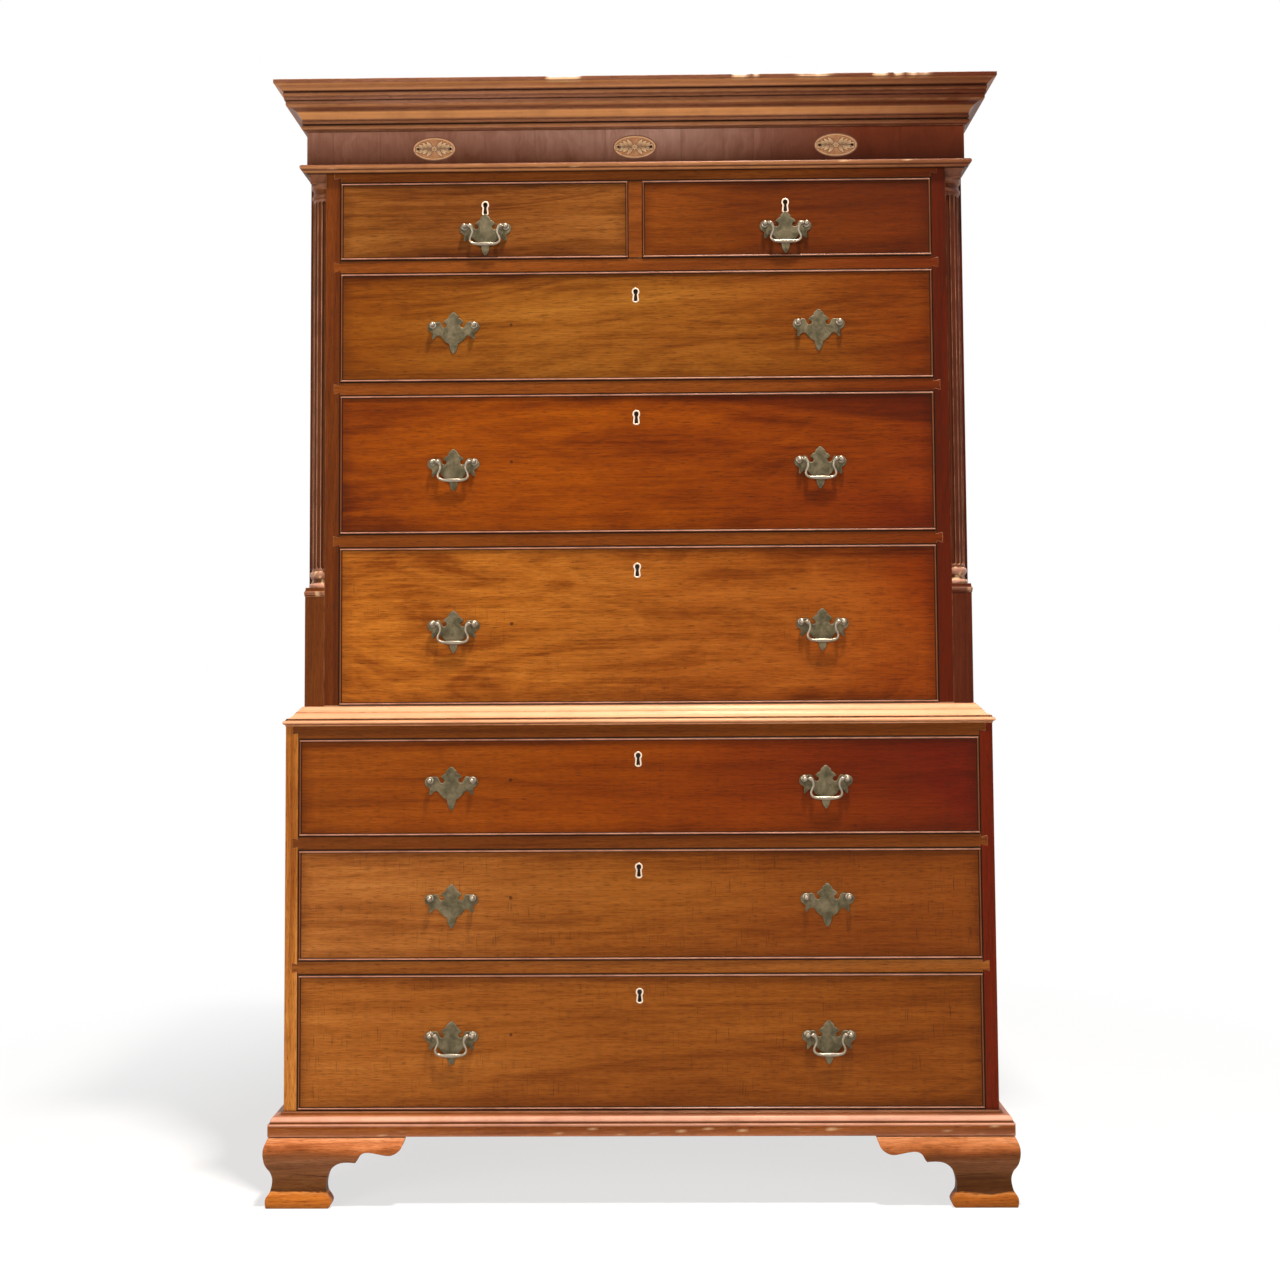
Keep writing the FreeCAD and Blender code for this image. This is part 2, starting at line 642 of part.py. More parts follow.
# Astragal, cavetto, soffit, three small fillets, a cyma and the top lip.
CORNICE = [
    ("0", "frieze_top"),
    (out(0.1, "cornice_reach"), lift("frieze_top", 0.02, "cornice_tall")),
    (out(0.18, "cornice_reach"), lift("frieze_top", 0.06, "cornice_tall")),
    (out(0.21, "cornice_reach"), lift("frieze_top", 0.13, "cornice_tall")),
    (out(0.18, "cornice_reach"), lift("frieze_top", 0.19, "cornice_tall")),
    (out(0.14, "cornice_reach"), lift("frieze_top", 0.225, "cornice_tall")),
    (out(0.33, "cornice_reach"), lift("frieze_top", 0.43, "cornice_tall"), -0.35),
    (out(0.59, "cornice_reach"), lift("frieze_top", 0.44, "cornice_tall")),
    (out(0.59, "cornice_reach"), lift("frieze_top", 0.49, "cornice_tall")),
    (out(0.635, "cornice_reach"), lift("frieze_top", 0.49, "cornice_tall")),
    (out(0.635, "cornice_reach"), lift("frieze_top", 0.59, "cornice_tall")),
    (out(0.68, "cornice_reach"), lift("frieze_top", 0.59, "cornice_tall")),
    (out(0.68, "cornice_reach"), lift("frieze_top", 0.69, "cornice_tall")),
    (out(0.71, "cornice_reach"), lift("frieze_top", 0.69, "cornice_tall")),
    (out(0.71, "cornice_reach"), lift("frieze_top", 0.78, "cornice_tall")),
    (out(0.8, "cornice_reach"), lift("frieze_top", 0.84, "cornice_tall"), 0.25),
    (out(0.97, "cornice_reach"), lift("frieze_top", 0.9, "cornice_tall"), -0.2),
    (out(1, "cornice_reach"), lift("frieze_top", 0.92, "cornice_tall")),
    (out(1, "cornice_reach"), "all_top"),
    ("0", "all_top"),
]
node("cornice", moulding("cornice", CORNICE, "up_front", "up_half", "0", "cornice_reach",
                         "frieze_top", "cornice_tall"))


# ---- frieze boards with the pockets for the oval inlays ----

OVAL_CORNERS = 20


def oval(x, wide, tall):
    """An ellipse of short straight edges with its long axis level."""
    middle = "up_top + inlay_rise"
    turns = [2*math.pi*step/OVAL_CORNERS for step in range(OVAL_CORNERS)]
    return [("%s + %s*%.5f" % (x, wide, math.cos(turn)/2), "%s + %s*%.5f" % (middle, tall, math.sin(turn)/2))
            for turn in turns]


inlay_places = ("-inlay_out", "0", "inlay_out")
boards = moulding("frieze", [("-frieze_thick", "up_top"), ("0", "up_top"), ("0", "frame_top"),
                             ("-frieze_thick", "frame_top")],
                  "up_front", "up_half", "frieze_thick", "0", "up_top", "frieze_tall + frame_rise")
pockets = [oval(place, "inlay_wide", "inlay_tall") for place in inlay_places]
cut(boards[0], sketch_on(boards[0], "inlay_pockets", "XZ_Plane", minus("up_front"), pockets),
    "inlay_deep", forward=False)
node("frieze", boards + necking)

ovals = []
for count, place in enumerate(inlay_places):
    owner = body("inlay_%d" % count)
    face = sketch_on(owner, "inlay_face_%d" % count, "XZ_Plane", minus("up_front + inlay_deep"),
                     [oval(place, "inlay_wide", "inlay_tall")])
    pad(owner, face, "inlay_deep")
    ovals.append(owner)
node("frieze_inlays", ovals)


# ---- quarter columns ----

FLUTES = 5
QUARTER = 90
# One flute: share of half its pitch from its middle, share of its depth.
FLUTE = [(-0.76, 0), (-0.48, 0.78), (0, 1), (0.48, 0.78), (0.76, 0)]


def on_shaft(degrees, depth):
    """A corner of the fluted section, at this turn from the side towards the front."""
    turn = math.radians(degrees)
    radius = "(shaft_radius - flute_deep*%s)" % depth
    return "%s*%.5f" % (radius, math.cos(turn)), "-%s*%.5f" % (radius, math.sin(turn))


column = body("column")
half_pitch = QUARTER/FLUTES/2
plan = [("0", "0"), on_shaft(0, 0)]
for count in range(FLUTES):
    plan += [on_shaft(half_pitch*(2*count + 1 + share), depth) for share, depth in FLUTE]
plan += [on_shaft(QUARTER, 0)]
fluted = sketch_on(column, "column_plan", "XY_Plane", "column_foot + flute_start", [plan])
pad(column, fluted, "column_head - column_foot - flute_start - flute_end")

# Turned ends below and above the flutes: radius, share of the length of that end.
FOOT_END = [("ring_radius", 0), ("ring_radius", 0.2), ("shaft_radius", 0.34), ("shaft_radius", 0.52),
            ("ring_radius - 2", 0.6), ("ring_radius - 2", 0.8), ("shaft_radius", 0.88),
            ("shaft_radius", 1)]
HEAD_END = [("ring_radius - 1", 0), ("ring_radius - 1", 0.18), ("shaft_radius", 0.28),
            ("ring_radius - 2", 0.61), ("ring_radius - 2", 0.79), ("shaft_radius", 0.86),
            ("shaft_radius", 1)]
foot_end = [(radius, lift("column_foot", share, "flute_start")) for radius, share in FOOT_END]
head_end = [(radius, lift("column_head", -share, "flute_end")) for radius, share in HEAD_END]
outlines = []
for end in (foot_end, head_end[::-1]):
    outlines.append([("0", end[0][1])] + end + [("0", end[-1][1])])
section = sketch_on(column, "column_section", "XZ_Plane", "0", outlines)
turned = column.newObject("PartDesign::Revolution", "column_turning")
turned.Profile = section
turned.ReferenceAxis = (section, ["V_Axis"])
turned.Reversed = True
turned.Angle = QUARTER
column.setExpression("Placement.Base.x", formula("notch_x"))
column.setExpression("Placement.Base.y", formula("notch_y"))

plinth = board("plinth", ("notch_x", "up_half"), ("up_front", "notch_y"),
               ("low_top", "low_top + plinth_tall"))
cap = board("plinth_cap_block", ("notch_x", "up_half + cap_proud"),
            ("up_front - cap_proud", "notch_y"), ("low_top + plinth_tall", "column_foot"))
abacus = board("abacus_block", ("notch_x", "up_half"), ("up_front", "notch_y"),
               ("column_head", "up_top"))
right = [column, plinth, cap, abacus]
node("corner_columns", right + [mirrored(item, item.Name + "_left") for item in right])


# ---- ogee bracket feet ----

# Outer face of a foot from the top down: out from the case face, height.
OGEE = [
    ("0", "foot_tall"),
    ("0", "0"),
    (out(0.82, "foot_reach"), "0"),
    (out(0.82, "foot_reach"), out(0.75, "foot_pad")),
    (out(0.72, "foot_reach"), out(1.14, "foot_pad")),
    (out(0.53, "foot_reach"), out(0.31, "foot_tall")),
    (out(0.84, "foot_reach"), out(0.54, "foot_tall"), -0.2),
    (out(1, "foot_reach"), out(0.76, "foot_tall")),
    (out(1, "foot_reach"), out(0.88, "foot_tall")),
    (out(0.72, "foot_reach"), "foot_tall"),
]

# Scrolled inner edge of a facing, measured from the outer corner of the foot.
SCROLL = [
    (0.48, "0"),
    (0.48, "foot_pad"),
    (0.44, "foot_pad*1.06"),
    (0.44, "foot_tall*0.37"),
    (0.57, "foot_tall*0.635", -0.35),
    (0.65, "foot_tall*0.635"),
    (0.8, "foot_tall*0.76", -0.3),
    (0.88, "foot_tall*0.735", 0.08),
    (0.99, "foot_tall*0.97", -0.3),
    (1.03, "foot_tall*0.97"),
    (1.03, "0"),
]


def scroll(tip, direction):
    """The scrolled cut from a foot tip inwards; direction is the sign towards the inside."""
    hand = 1 if direction == "-" else -1
    return [("%s %s foot_span*%s" % (tip, direction, corner[0]), corner[1])
            + tuple(hand*bulge for bulge in corner[2:]) for corner in SCROLL]


def cut_mitre(owner, name, keep_front):
    """The mitre where two facings meet."""
    waste = mitre("low_front", "low_half", "0", "foot_reach + over", keep_front)
    cut(owner, sketch_on(owner, name + "_mitre", "XY_Plane", "-over", [waste]), "foot_tall + 2*over")


def facing_front(name):
    owner = body(name)
    section = along_front(OGEE, "low_front")
    pad(owner, sketch_on(owner, name + "_section", "YZ_Plane", "foot_x - foot_span", [section]),
        "foot_span")
    cut_mitre(owner, name, True)
    cut(owner, sketch_on(owner, name + "_scroll", "XZ_Plane", minus("low_front + over"),
                         [scroll("foot_x", "-")]), "foot_reach + 2*over")
    return owner


def facing_side(name, rear):
    owner = body(name)
    section = along_side(OGEE, "low_half")
    start = "back" if rear else "foot_y + foot_span"
    pad(owner, sketch_on(owner, name + "_section", "XZ_Plane", minus(start), [section]), "foot_span")
    if not rear:
        cut_mitre(owner, name, False)
    shape = scroll("back", "-") if rear else scroll("foot_y", "+")
    cut(owner, sketch_on(owner, name + "_scroll", "YZ_Plane", "low_half - over", [shape]),
        "foot_reach + 2*over")
    return owner


front_facings = [facing_front("foot_front"), facing_side("foot_side", False)]
node("front_feet", front_facings + [mirrored(item, item.Name + "_left") for item in front_facings])

bracket = body("rear_bracket")
shape = [("low_half", "0"), ("low_half", "foot_tall"), ("low_half - foot_span*0.8", "foot_tall"),
         ("low_half - foot_span*0.36", "0", 0.3)]
pad(bracket, sketch_on(bracket, "rear_bracket_face", "XZ_Plane", minus("back"), [shape]),
    "bracket_thick")
rear_pieces = [facing_side("foot_rear", True), bracket]
node("rear_feet", rear_pieces + [mirrored(item, item.Name + "_left") for item in rear_pieces])

in_x = ("low_half - block_wide", "low_half")
block_z = ("foot_pad*0.3", "foot_tall")
small_z = ("foot_tall - block_small", "foot_tall")
rear_face = "back - bracket_thick"
blocks = [
    board("block_front", in_x, ("low_front", "low_front + block_wide"), block_z),
    board("block_rear", in_x, ("%s - block_wide" % rear_face, rear_face), block_z),
    board("block_along_front", ("low_half - foot_span*0.7", "low_half - block_wide"),
          ("low_front", "low_front + block_small"), small_z),
    board("block_along_side", ("low_half - block_small", "low_half"),
          ("low_front + block_wide", "low_front + foot_span*0.7"), small_z),
    board("block_along_rear", ("low_half - block_small", "low_half"),
          ("%s - foot_span*0.7" % rear_face, "%s - block_wide" % rear_face), small_z),
]
node("foot_blocks", blocks + [mirrored(item, item.Name + "_left") for item in blocks])


# ---- drawers ----

DRAWERS = [
    # name, left and right of the opening, floor, height, front, length, handles, handle line,
    # keyhole, keyhole drop
    ("short_left", "-up_open", "-muntin_wide/2", "short_floor", "short_open", "up_front", "up_long",
     ("-short_out",), "short_shift", "-short_out", "short_key_drop"),
    ("short_right", "muntin_wide/2", "up_open", "short_floor", "short_open", "up_front", "up_long",
     ("short_out",), "short_shift", "short_out", "short_key_drop"),
    ("upper_a", "-up_open", "up_open", "up_floor_a", "upper_open_a", "up_front", "up_long",
     ("-handle_out", "handle_out"), "upper_shift", "0", "upper_key_drop"),
    ("upper_b", "-up_open", "up_open", "up_floor_b", "upper_open_b", "up_front", "up_long",
     ("-handle_out", "handle_out"), "upper_shift", "0", "upper_key_drop"),
    ("upper_c", "-up_open", "up_open", "up_floor_c", "upper_open_c", "up_front", "up_long",
     ("-handle_out", "handle_out"), "upper_shift", "0", "upper_key_drop"),
    ("lower_a", "-low_open", "low_open", "floor_a", "lower_open_a", "low_front", "low_long",
     ("-handle_out", "handle_out"), "lower_shift", "0", "lower_key_drop"),
    ("lower_b", "-low_open", "low_open", "floor_b", "lower_open_b", "low_front", "low_long",
     ("-handle_out", "handle_out"), "lower_shift", "0", "lower_key_drop"),
    ("lower_c", "-low_open", "low_open", "floor_c", "lower_open_c", "low_front", "low_long",
     ("-handle_out", "handle_out"), "lower_shift", "0", "lower_key_drop"),
]

# Handles that still carry their bail: drawer and side.
BAILS = [("short_left", 0), ("short_right", 0), ("upper_b", 0), ("upper_b", 1), ("upper_c", 0),
         ("upper_c", 1), ("lower_a", 1), ("lower_c", 0), ("lower_c", 1)]

TAILS = 3


def key_shape(x, z, extra="0"):
    """A keyhole: a head of straight edges over a slot."""
    low = "%s - key_tall/2 - %s" % (z, extra)
    waist = "%s + key_tall*0.08" % z
    knee = "%s + key_tall*0.26" % z
    top = "%s + key_tall/2 + %s" % (z, extra)
    half = "(key_wide/2 + %s)" % extra
    head = "(key_wide*0.72 + %s)" % extra
    return [
        ("%s - %s" % (x, half), low),
        ("%s + %s" % (x, half), low),
        ("%s + %s" % (x, half), waist),
        ("%s + %s" % (x, head), knee),
        ("%s + %s*0.6" % (x, half), top),
        ("%s - %s*0.6" % (x, half), top),
        ("%s - %s" % (x, head), knee),
        ("%s - %s" % (x, half), waist),
    ]


def tails(front, low, tall):
    """Dovetails at the front end of a drawer side, from the bottom up."""
    zone_low = "%s + panel_rise + panel_thick + groove" % low
    pitch = "(%s - panel_rise - panel_thick - groove - tail_top)/%d" % (tall, TAILS)
    root = "%s + front_thick" % front
    tip = "%s - tail_long" % root
    made = []
    for place in range(TAILS):
        middle = "%s + %s*%s" % (zone_low, pitch, place + 0.5)
        made.append([(root, "%s - %s*0.27" % (middle, pitch)), (tip, "%s - %s*0.36" % (middle, pitch)),
                     (tip, "%s + %s*0.36" % (middle, pitch)), (root, "%s + %s*0.27" % (middle, pitch))])
    return made


# Section of a cock bead: back from the face of the drawer, share of its thickness.
BEAD = [("bead_deep", 0), ("bead_deep", 1), ("-bead_proud*0.5", 1), ("-bead_proud", 0.7),
        ("-bead_proud", 0.3), ("-bead_proud*0.5", 0)]
section_level = doc.addObject("Sketcher::SketchObject", "bead_section_level")
section_level.Placement = FreeCAD.Placement(FreeCAD.Vector(),
                                            FreeCAD.Rotation(FreeCAD.Vector(1, 1, 1), 120))
outline(section_level, [(depth, "bead_thick*%s" % share) for depth, share in BEAD])
section_upright = doc.addObject("Sketcher::SketchObject", "bead_section_upright")
outline(section_upright, [("bead_thick*%s" % share, depth) for depth, share in BEAD])


def bead(name, section, length, x, y, z):
    """A length of cock bead."""
    strip = doc.addObject("Part::Extrusion", name)
    strip.Base = section
    strip.DirMode = "Custom"
    strip.Dir = (1, 0, 0) if section is section_level else (0, 0, 1)
    strip.Solid = True
    strip.setExpression("LengthFwd", formula(length))
    for axis, rule in zip("xyz", (x, y, z)):
        strip.setExpression("Placement.Base." + axis, formula(rule))
    return strip


# Handle plate, right half from the apex round to the bottom tip: share of width, share of height.
PLATE = [
    (0.07, 0.23), (0.17, 0.11), (0.17, -0.03), (0.235, 0.08), (0.42, 0.14), (0.5, 0.0),
    (0.4, -0.3), (0.31, -0.22), (0.17, -0.32), (0.08, -0.46), (0, -0.68),
]


def plate_outline():
    """The whole outline, clockwise from the apex."""
    right = [("plate_wide*%s" % x, "plate_tall*%s" % z) for x, z in PLATE]
    left = [("-" + x, z) for x, z in right[-2::-1]]
    return [("0", "plate_tall*0.32")] + right + left


def square(x, z, half):
    """A square hole or pad in a face seen from the front."""
    return rectangle(("%s - (%s)" % (x, half), "%s + (%s)" % (x, half)),
                     ("%s - (%s)" % (z, half), "%s + (%s)" % (z, half)))


plate = body("plate")
shapes = [plate_outline()]
for place in ("post_gap/2", "-post_gap/2"):
    shapes.append(square(place, "0", "post_half + post_slack"))
pad(plate, sketch_on(plate, "plate_face", "XZ_Plane", "0", shapes), "plate_thick")


def flats(count, radius, x="0", z="0"):
    """An even-sided outline around a spot; radius is measured to the flats."""
    corner = "(%s)*%.5f" % (radius, 1/math.cos(math.pi/count))
    turns = [math.pi*(2*step + 1)/count for step in range(count)]
    return [("%s + %s*%.5f" % (x, corner, math.cos(turn)), "%s + %s*%.5f" % (z, corner, math.sin(turn)))
            for turn in turns]


# Cast post: a six-sided ball, a square shank through the drawer front and its square nut.
SIDES = 6
post = body("post")
nut_face = "-front_thick - nut_thick"
pad(post, sketch_on(post, "ball_face", "XZ_Plane", "knob_out - knob_radius",
                    [flats(SIDES, "knob_radius")]), "2*knob_radius")
pad(post, sketch_on(post, "shank_face", "XZ_Plane", nut_face, [square("0", "0", "post_half")]),
    "front_thick + nut_thick + knob_out")
pad(post, sketch_on(post, "nut_face", "XZ_Plane", nut_face, [square("0", "0", "nut_half")]), "nut_thick")
bore = sketch_on(post, "post_bore", "YZ_Plane", "-knob_radius - over",
                 [flats(SIDES, "pin_radius + pin_slack", "-knob_out")])
cut(post, bore, "2*knob_radius + 2*over")

rim = body("rim")
pad(rim, sketch_on(rim, "rim_face", "XZ_Plane", "lock_thick - front_thick",
                   [key_shape("0", "0", "rim_wide"), key_shape("0", "0")]),
    "front_thick - lock_thick + rim_proud")


def lock_case(kind, drop):
    """A lock case with the channel of its bolt and a recess for the key."""
    owner = body("lock_" + kind)
    face = rectangle(("-lock_wide/2", "lock_wide/2"), ("%s - lock_below" % minus(drop), "-drawer_gap"))
    pad(owner, sketch_on(owner, "lock_face_" + kind, "XZ_Plane", "-front_thick", [face]), "lock_thick")
    middle = "front_thick - lock_thick/2"
    half = "(bolt_thick/2 + bolt_slack)"
    channel = rectangle(("-bolt_wide/2 - bolt_slack", "bolt_wide/2 + bolt_slack"),
                        ("%s - %s" % (middle, half), "%s + %s" % (middle, half)))
    cut(owner, sketch_on(owner, "lock_channel_" + kind, "XY_Plane",
                         "-bolt_long - drawer_gap - bolt_rest - bolt_slack", [channel]),
        "bolt_long + drawer_gap + bolt_rest + over")
    recess = rectangle(("-key_wide/2", "key_wide/2"),
                       ("%s - key_tall/2" % minus(drop), "%s + key_tall/2" % minus(drop)))
    cut(owner, sketch_on(owner, "lock_key_" + kind, "XZ_Plane", "lock_thick - front_thick", [recess]),
        "lock_thick - lock_plate", forward=False)
    return owner


locks = {kind + "_key_drop": lock_case(kind, kind + "_key_drop") for kind in ("short", "upper", "lower")}
bolt = body("bolt")
bar = rectangle(("-bolt_wide/2", "bolt_wide/2"),
                ("front_thick - (lock_thick + bolt_thick)/2",
                 "front_thick - (lock_thick - bolt_thick)/2"))
pad(bolt, sketch_on(bolt, "bolt_plan", "XY_Plane", "-bolt_long - drawer_gap - bolt_rest", [bar]),
    "bolt_long")

# Bail: thin pins in the bores of the posts, knuckles, waisted arms and a straight grip.
BAIL = [
    ("post_gap/2 - knob_radius - bail_gap", "0"),
    ("post_gap*0.36", "0"),
    ("post_gap*0.29", "-bail_drop*0.36"),
    ("post_gap*0.375", "-bail_drop*0.78"),
    ("post_gap*0.31", "-bail_drop"),
]

bail = body("bail")
path = sketch_on(bail, "bail_path", "XZ_Plane", "0", [])
outline(path, BAIL + [("-(%s)" % x, z) for x, z in BAIL[::-1]], closed=False)
wire = sketch_on(bail, "bail_wire", "YZ_Plane", BAIL[0][0], [flats(SIDES, "bail_radius")])
sweep = bail.newObject("PartDesign::AdditivePipe", "bail_sweep")
sweep.Profile = wire
sweep.Spine = path
sweep.Transition = "Right corner"
pin_long = "2*knob_radius + bail_gap - pin_tip"
for end, start in (("right", BAIL[0][0]), ("left", "-(%s) - (%s)" % (BAIL[0][0], pin_long))):
    pin = sketch_on(bail, "bail_pin_" + end, "YZ_Plane", start,
                    [flats(SIDES, "pin_radius*%.5f" % math.cos(math.pi/SIDES))])
    pad(bail, pin, pin_long)


def drawer_front(title, left, right, floor, tall, front, handles, line, key, drop):
    """Front board, rebated for its beads, with its sockets, groove, lock recess and holes."""
    owner = body(title + "_board")
    top = "%s + %s - drawer_gap" % (floor, tall)
    low = "%s + drawer_gap" % floor
    x = ("%s + drawer_gap" % left, "%s - drawer_gap" % right)
    rear = "%s + front_thick" % front
    pad(owner, sketch_on(owner, title + "_face", "XZ_Plane", minus(rear),
                         [rectangle(x, (low, top))]), "front_thick")
    around = rectangle((x[0] + " - over", x[1] + " + over"), (low + " - over", top + " + over"))
    inside = rectangle((x[0] + " + bead_thick", x[1] + " - bead_thick"),
                       (low + " + bead_thick", top + " - bead_thick"))
    cut(owner, sketch_on(owner, title + "_rebate", "XZ_Plane", minus(front), [around, inside]),
        "bead_deep", forward=False)
    for end, start in (("left", x[0]), ("right", x[1] + " - drawer_side")):
        sockets = sketch_on(owner, "%s_sockets_%s" % (title, end), "YZ_Plane", start,
                            tails(front, floor, tall))
        cut(owner, sockets, "drawer_side")
    slot_x = (x[0] + " + drawer_side - groove", x[1] + " - drawer_side + groove")
    slot_z = (floor + " + panel_rise", floor + " + panel_rise + panel_thick")
    cut(owner, sketch_on(owner, title + "_groove", "XZ_Plane", minus(rear),
                         [rectangle(slot_x, slot_z)]), "groove")
    key_z = "%s + %s - %s" % (floor, tall, drop)
    recess = rectangle((key + " - lock_wide/2", key + " + lock_wide/2"),
                       (key_z + " - lock_below", top + " + over"))
    cut(owner, sketch_on(owner, title + "_lock_recess", "XZ_Plane", minus(rear), [recess]),
        "lock_thick")
    holes = [key_shape(key, key_z, "rim_wide")]
    for place in handles:
        for side in ("+", "-"):
            holes.append(square("%s %s post_gap/2" % (place, side), line, "post_half + post_slack"))
    cut(owner, sketch_on(owner, title + "_holes", "XZ_Plane", minus(rear), holes), "front_thick")
    wide = "(%s) - (%s)" % (x[1], x[0])
    rise = "(%s) - (%s) - 2*bead_thick" % (top, low)
    strips = [
        bead(title + "_bead_top", section_level, wide, x[0], front, top + " - bead_thick"),
        bead(title + "_bead_low", section_level, wide, x[0], front, low),
        bead(title + "_bead_left", section_upright, rise, x[0], front, low + " + bead_thick"),
        bead(title + "_bead_right", section_upright, rise, x[1] + " - bead_thick", front,
             low + " + bead_thick"),
    ]
    return [owner] + strips


def drawer_box(title, left, right, floor, tall, front, length):
    """Two dovetailed sides, a back and a bottom held in grooves."""
    x = ("%s + drawer_gap" % left, "%s - drawer_gap" % right)
    root = "%s + front_thick" % front
    rear = "%s + %s" % (front, length)
    low = "%s + run_gap" % floor
    high = "%s + %s - side_drop" % (floor, tall)
    panel_z = (floor + " + panel_rise", floor + " + panel_rise + panel_thick")
    shape = [(rear, low), (rear, high), (root, high)]
    for tail in tails(front, floor, tall)[::-1]:
        shape += tail[::-1]
    shape.append((root, low))
    pieces = []
    starts = (("left", x[0], x[0] + " + drawer_side - groove"),
              ("right", x[1] + " - drawer_side", x[1] + " - drawer_side"))
    for end, start, slot in starts:
        owner = body("%s_side_%s" % (title, end))
        pad(owner, sketch_on(owner, "%s_side_face_%s" % (title, end), "YZ_Plane", start, [shape]),
            "drawer_side")
        channel = rectangle((root + " - over", rear + " + over"), panel_z)
        cut(owner, sketch_on(owner, "%s_side_groove_%s" % (title, end), "YZ_Plane", slot, [channel]),
            "groove")
        pieces.append(owner)
    inner = (x[0] + " + drawer_side", x[1] + " - drawer_side")
    held = (inner[0] + " - groove", inner[1] + " + groove")
    pieces.append(board(title + "_back", inner, (rear + " - drawer_side", rear), (panel_z[1], high)))
    pieces.append(board(title + "_bottom", held, (root + " - groove", rear), panel_z))
    return pieces


for title, left, right, floor, tall, front, length, handles, shift, key, drop in DRAWERS:
    line = "%s + %s/2 + %s" % (floor, tall, shift)
    node("drawer_%s_front" % title,
         drawer_front(title, left, right, floor, tall, front, handles, line, key, drop))
    node("drawer_%s_box" % title, drawer_box(title, left, right, floor, tall, front, length))
    brass = []
    for count, place in enumerate(handles):
        brass.append(placed(plate, "%s_plate_%d" % (title, count), place, front, line))
        for side, sign in (("right", "+"), ("left", "-")):
            spot = "%s %s post_gap/2" % (place, sign)
            brass.append(placed(post, "%s_post_%s_%d" % (title, side, count), spot, front, line))
    head = "%s + %s" % (floor, tall)
    brass.append(placed(rim, title + "_rim", key, front, "%s - %s" % (head, drop)))
    brass.append(placed(locks[drop], title + "_lock", key, front, head))
    node("drawer_%s_brass" % title, brass)
    node("drawer_%s_bolt" % title, [placed(bolt, title + "_bolt_bar", key, front, head)])
    for count, place in enumerate(handles):
        if (title, count) in BAILS:
            name = "%s_%d" % (title, count)
            hung = placed(bail, "hung_" + name, place, "%s - knob_out" % front, line)
            node("bail_" + name, [hung])

doc.recompute()


# ---- check and write ----

def writable(item):
    shape = item.Shape
    return not shape.isNull() and shape.isValid()


for item in doc.Objects:
    if {"Invalid", "Error"} & set(item.State):
        raise RuntimeError("%s is not computed: %s" % (item.Name, item.State))
for item in nodes:
    if not writable(item):
        raise RuntimeError("%s has no valid shape" % item.Label)

os.makedirs("parts", exist_ok=True)
for item in nodes:
    item.Shape.exportStep("parts/%s.step" % item.Label)
print(len(nodes), "sub-parts written")
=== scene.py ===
import json
import math

import bmesh
import bpy
from mathutils import Matrix, Vector, noise

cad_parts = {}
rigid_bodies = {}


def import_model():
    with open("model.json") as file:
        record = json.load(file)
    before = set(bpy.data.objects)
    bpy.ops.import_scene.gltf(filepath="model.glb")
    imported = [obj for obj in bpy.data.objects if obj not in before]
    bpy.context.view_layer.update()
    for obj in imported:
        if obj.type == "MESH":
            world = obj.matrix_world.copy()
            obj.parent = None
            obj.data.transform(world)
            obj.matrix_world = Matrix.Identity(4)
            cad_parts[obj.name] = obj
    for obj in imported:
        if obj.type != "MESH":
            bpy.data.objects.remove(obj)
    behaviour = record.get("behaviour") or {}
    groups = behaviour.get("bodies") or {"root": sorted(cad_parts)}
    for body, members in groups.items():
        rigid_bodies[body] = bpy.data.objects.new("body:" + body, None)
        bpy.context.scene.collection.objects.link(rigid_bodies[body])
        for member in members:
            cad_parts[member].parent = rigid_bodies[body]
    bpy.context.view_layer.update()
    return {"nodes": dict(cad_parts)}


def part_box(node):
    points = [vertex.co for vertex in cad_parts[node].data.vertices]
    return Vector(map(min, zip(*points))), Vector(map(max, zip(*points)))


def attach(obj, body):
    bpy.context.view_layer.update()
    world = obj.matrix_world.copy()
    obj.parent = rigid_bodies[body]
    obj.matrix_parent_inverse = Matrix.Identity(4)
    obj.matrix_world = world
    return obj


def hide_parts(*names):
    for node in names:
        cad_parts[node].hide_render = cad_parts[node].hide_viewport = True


# Looks of the chest on chest: old polished mahogany, aged brass, boxwood inlays and raw oak.
# Metres, +Z up, the front faces -Y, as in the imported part.

for left_over in list(bpy.data.objects):
    bpy.data.objects.remove(left_over)

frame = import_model()
MM = 0.001


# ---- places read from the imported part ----

def low(node):
    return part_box(node)[0]


def high(node):
    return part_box(node)[1]


FRONT = low("lower_sides").y
BACK = high("lower_sides").y
HALF = high("lower_sides").x
STEP = HALF - high("upper_sides").x
UP_FRONT = FRONT + STEP
UP_HALF = HALF - STEP
LOW_TOP = high("lower_sides").z
UP_TOP = high("upper_sides").z
FRIEZE_TOP = low("cornice").z
FRAME_TOP = high("frieze").z
FOOT_TOP = high("front_feet").z
NOTCH = 31*MM
NOTCH_X = UP_HALF - NOTCH
NOTCH_Y = UP_FRONT + NOTCH

DRAWERS = ["short_left", "short_right", "upper_a", "upper_b", "upper_c", "lower_a", "lower_b", "lower_c"]
HANDLE_OUT = 291*MM
SHORT_OUT = 240*MM
DRAWER_GAP = 0.8*MM
BEAD_PROUD = 2*MM
BEAD_THICK = 3*MM
LINE_SHIFT = {"short": -10.5*MM, "upper": 3*MM, "lower": 10.5*MM}
KEY_DROP = {"short": 43*MM, "upper": 38.5*MM, "lower": 33.5*MM}


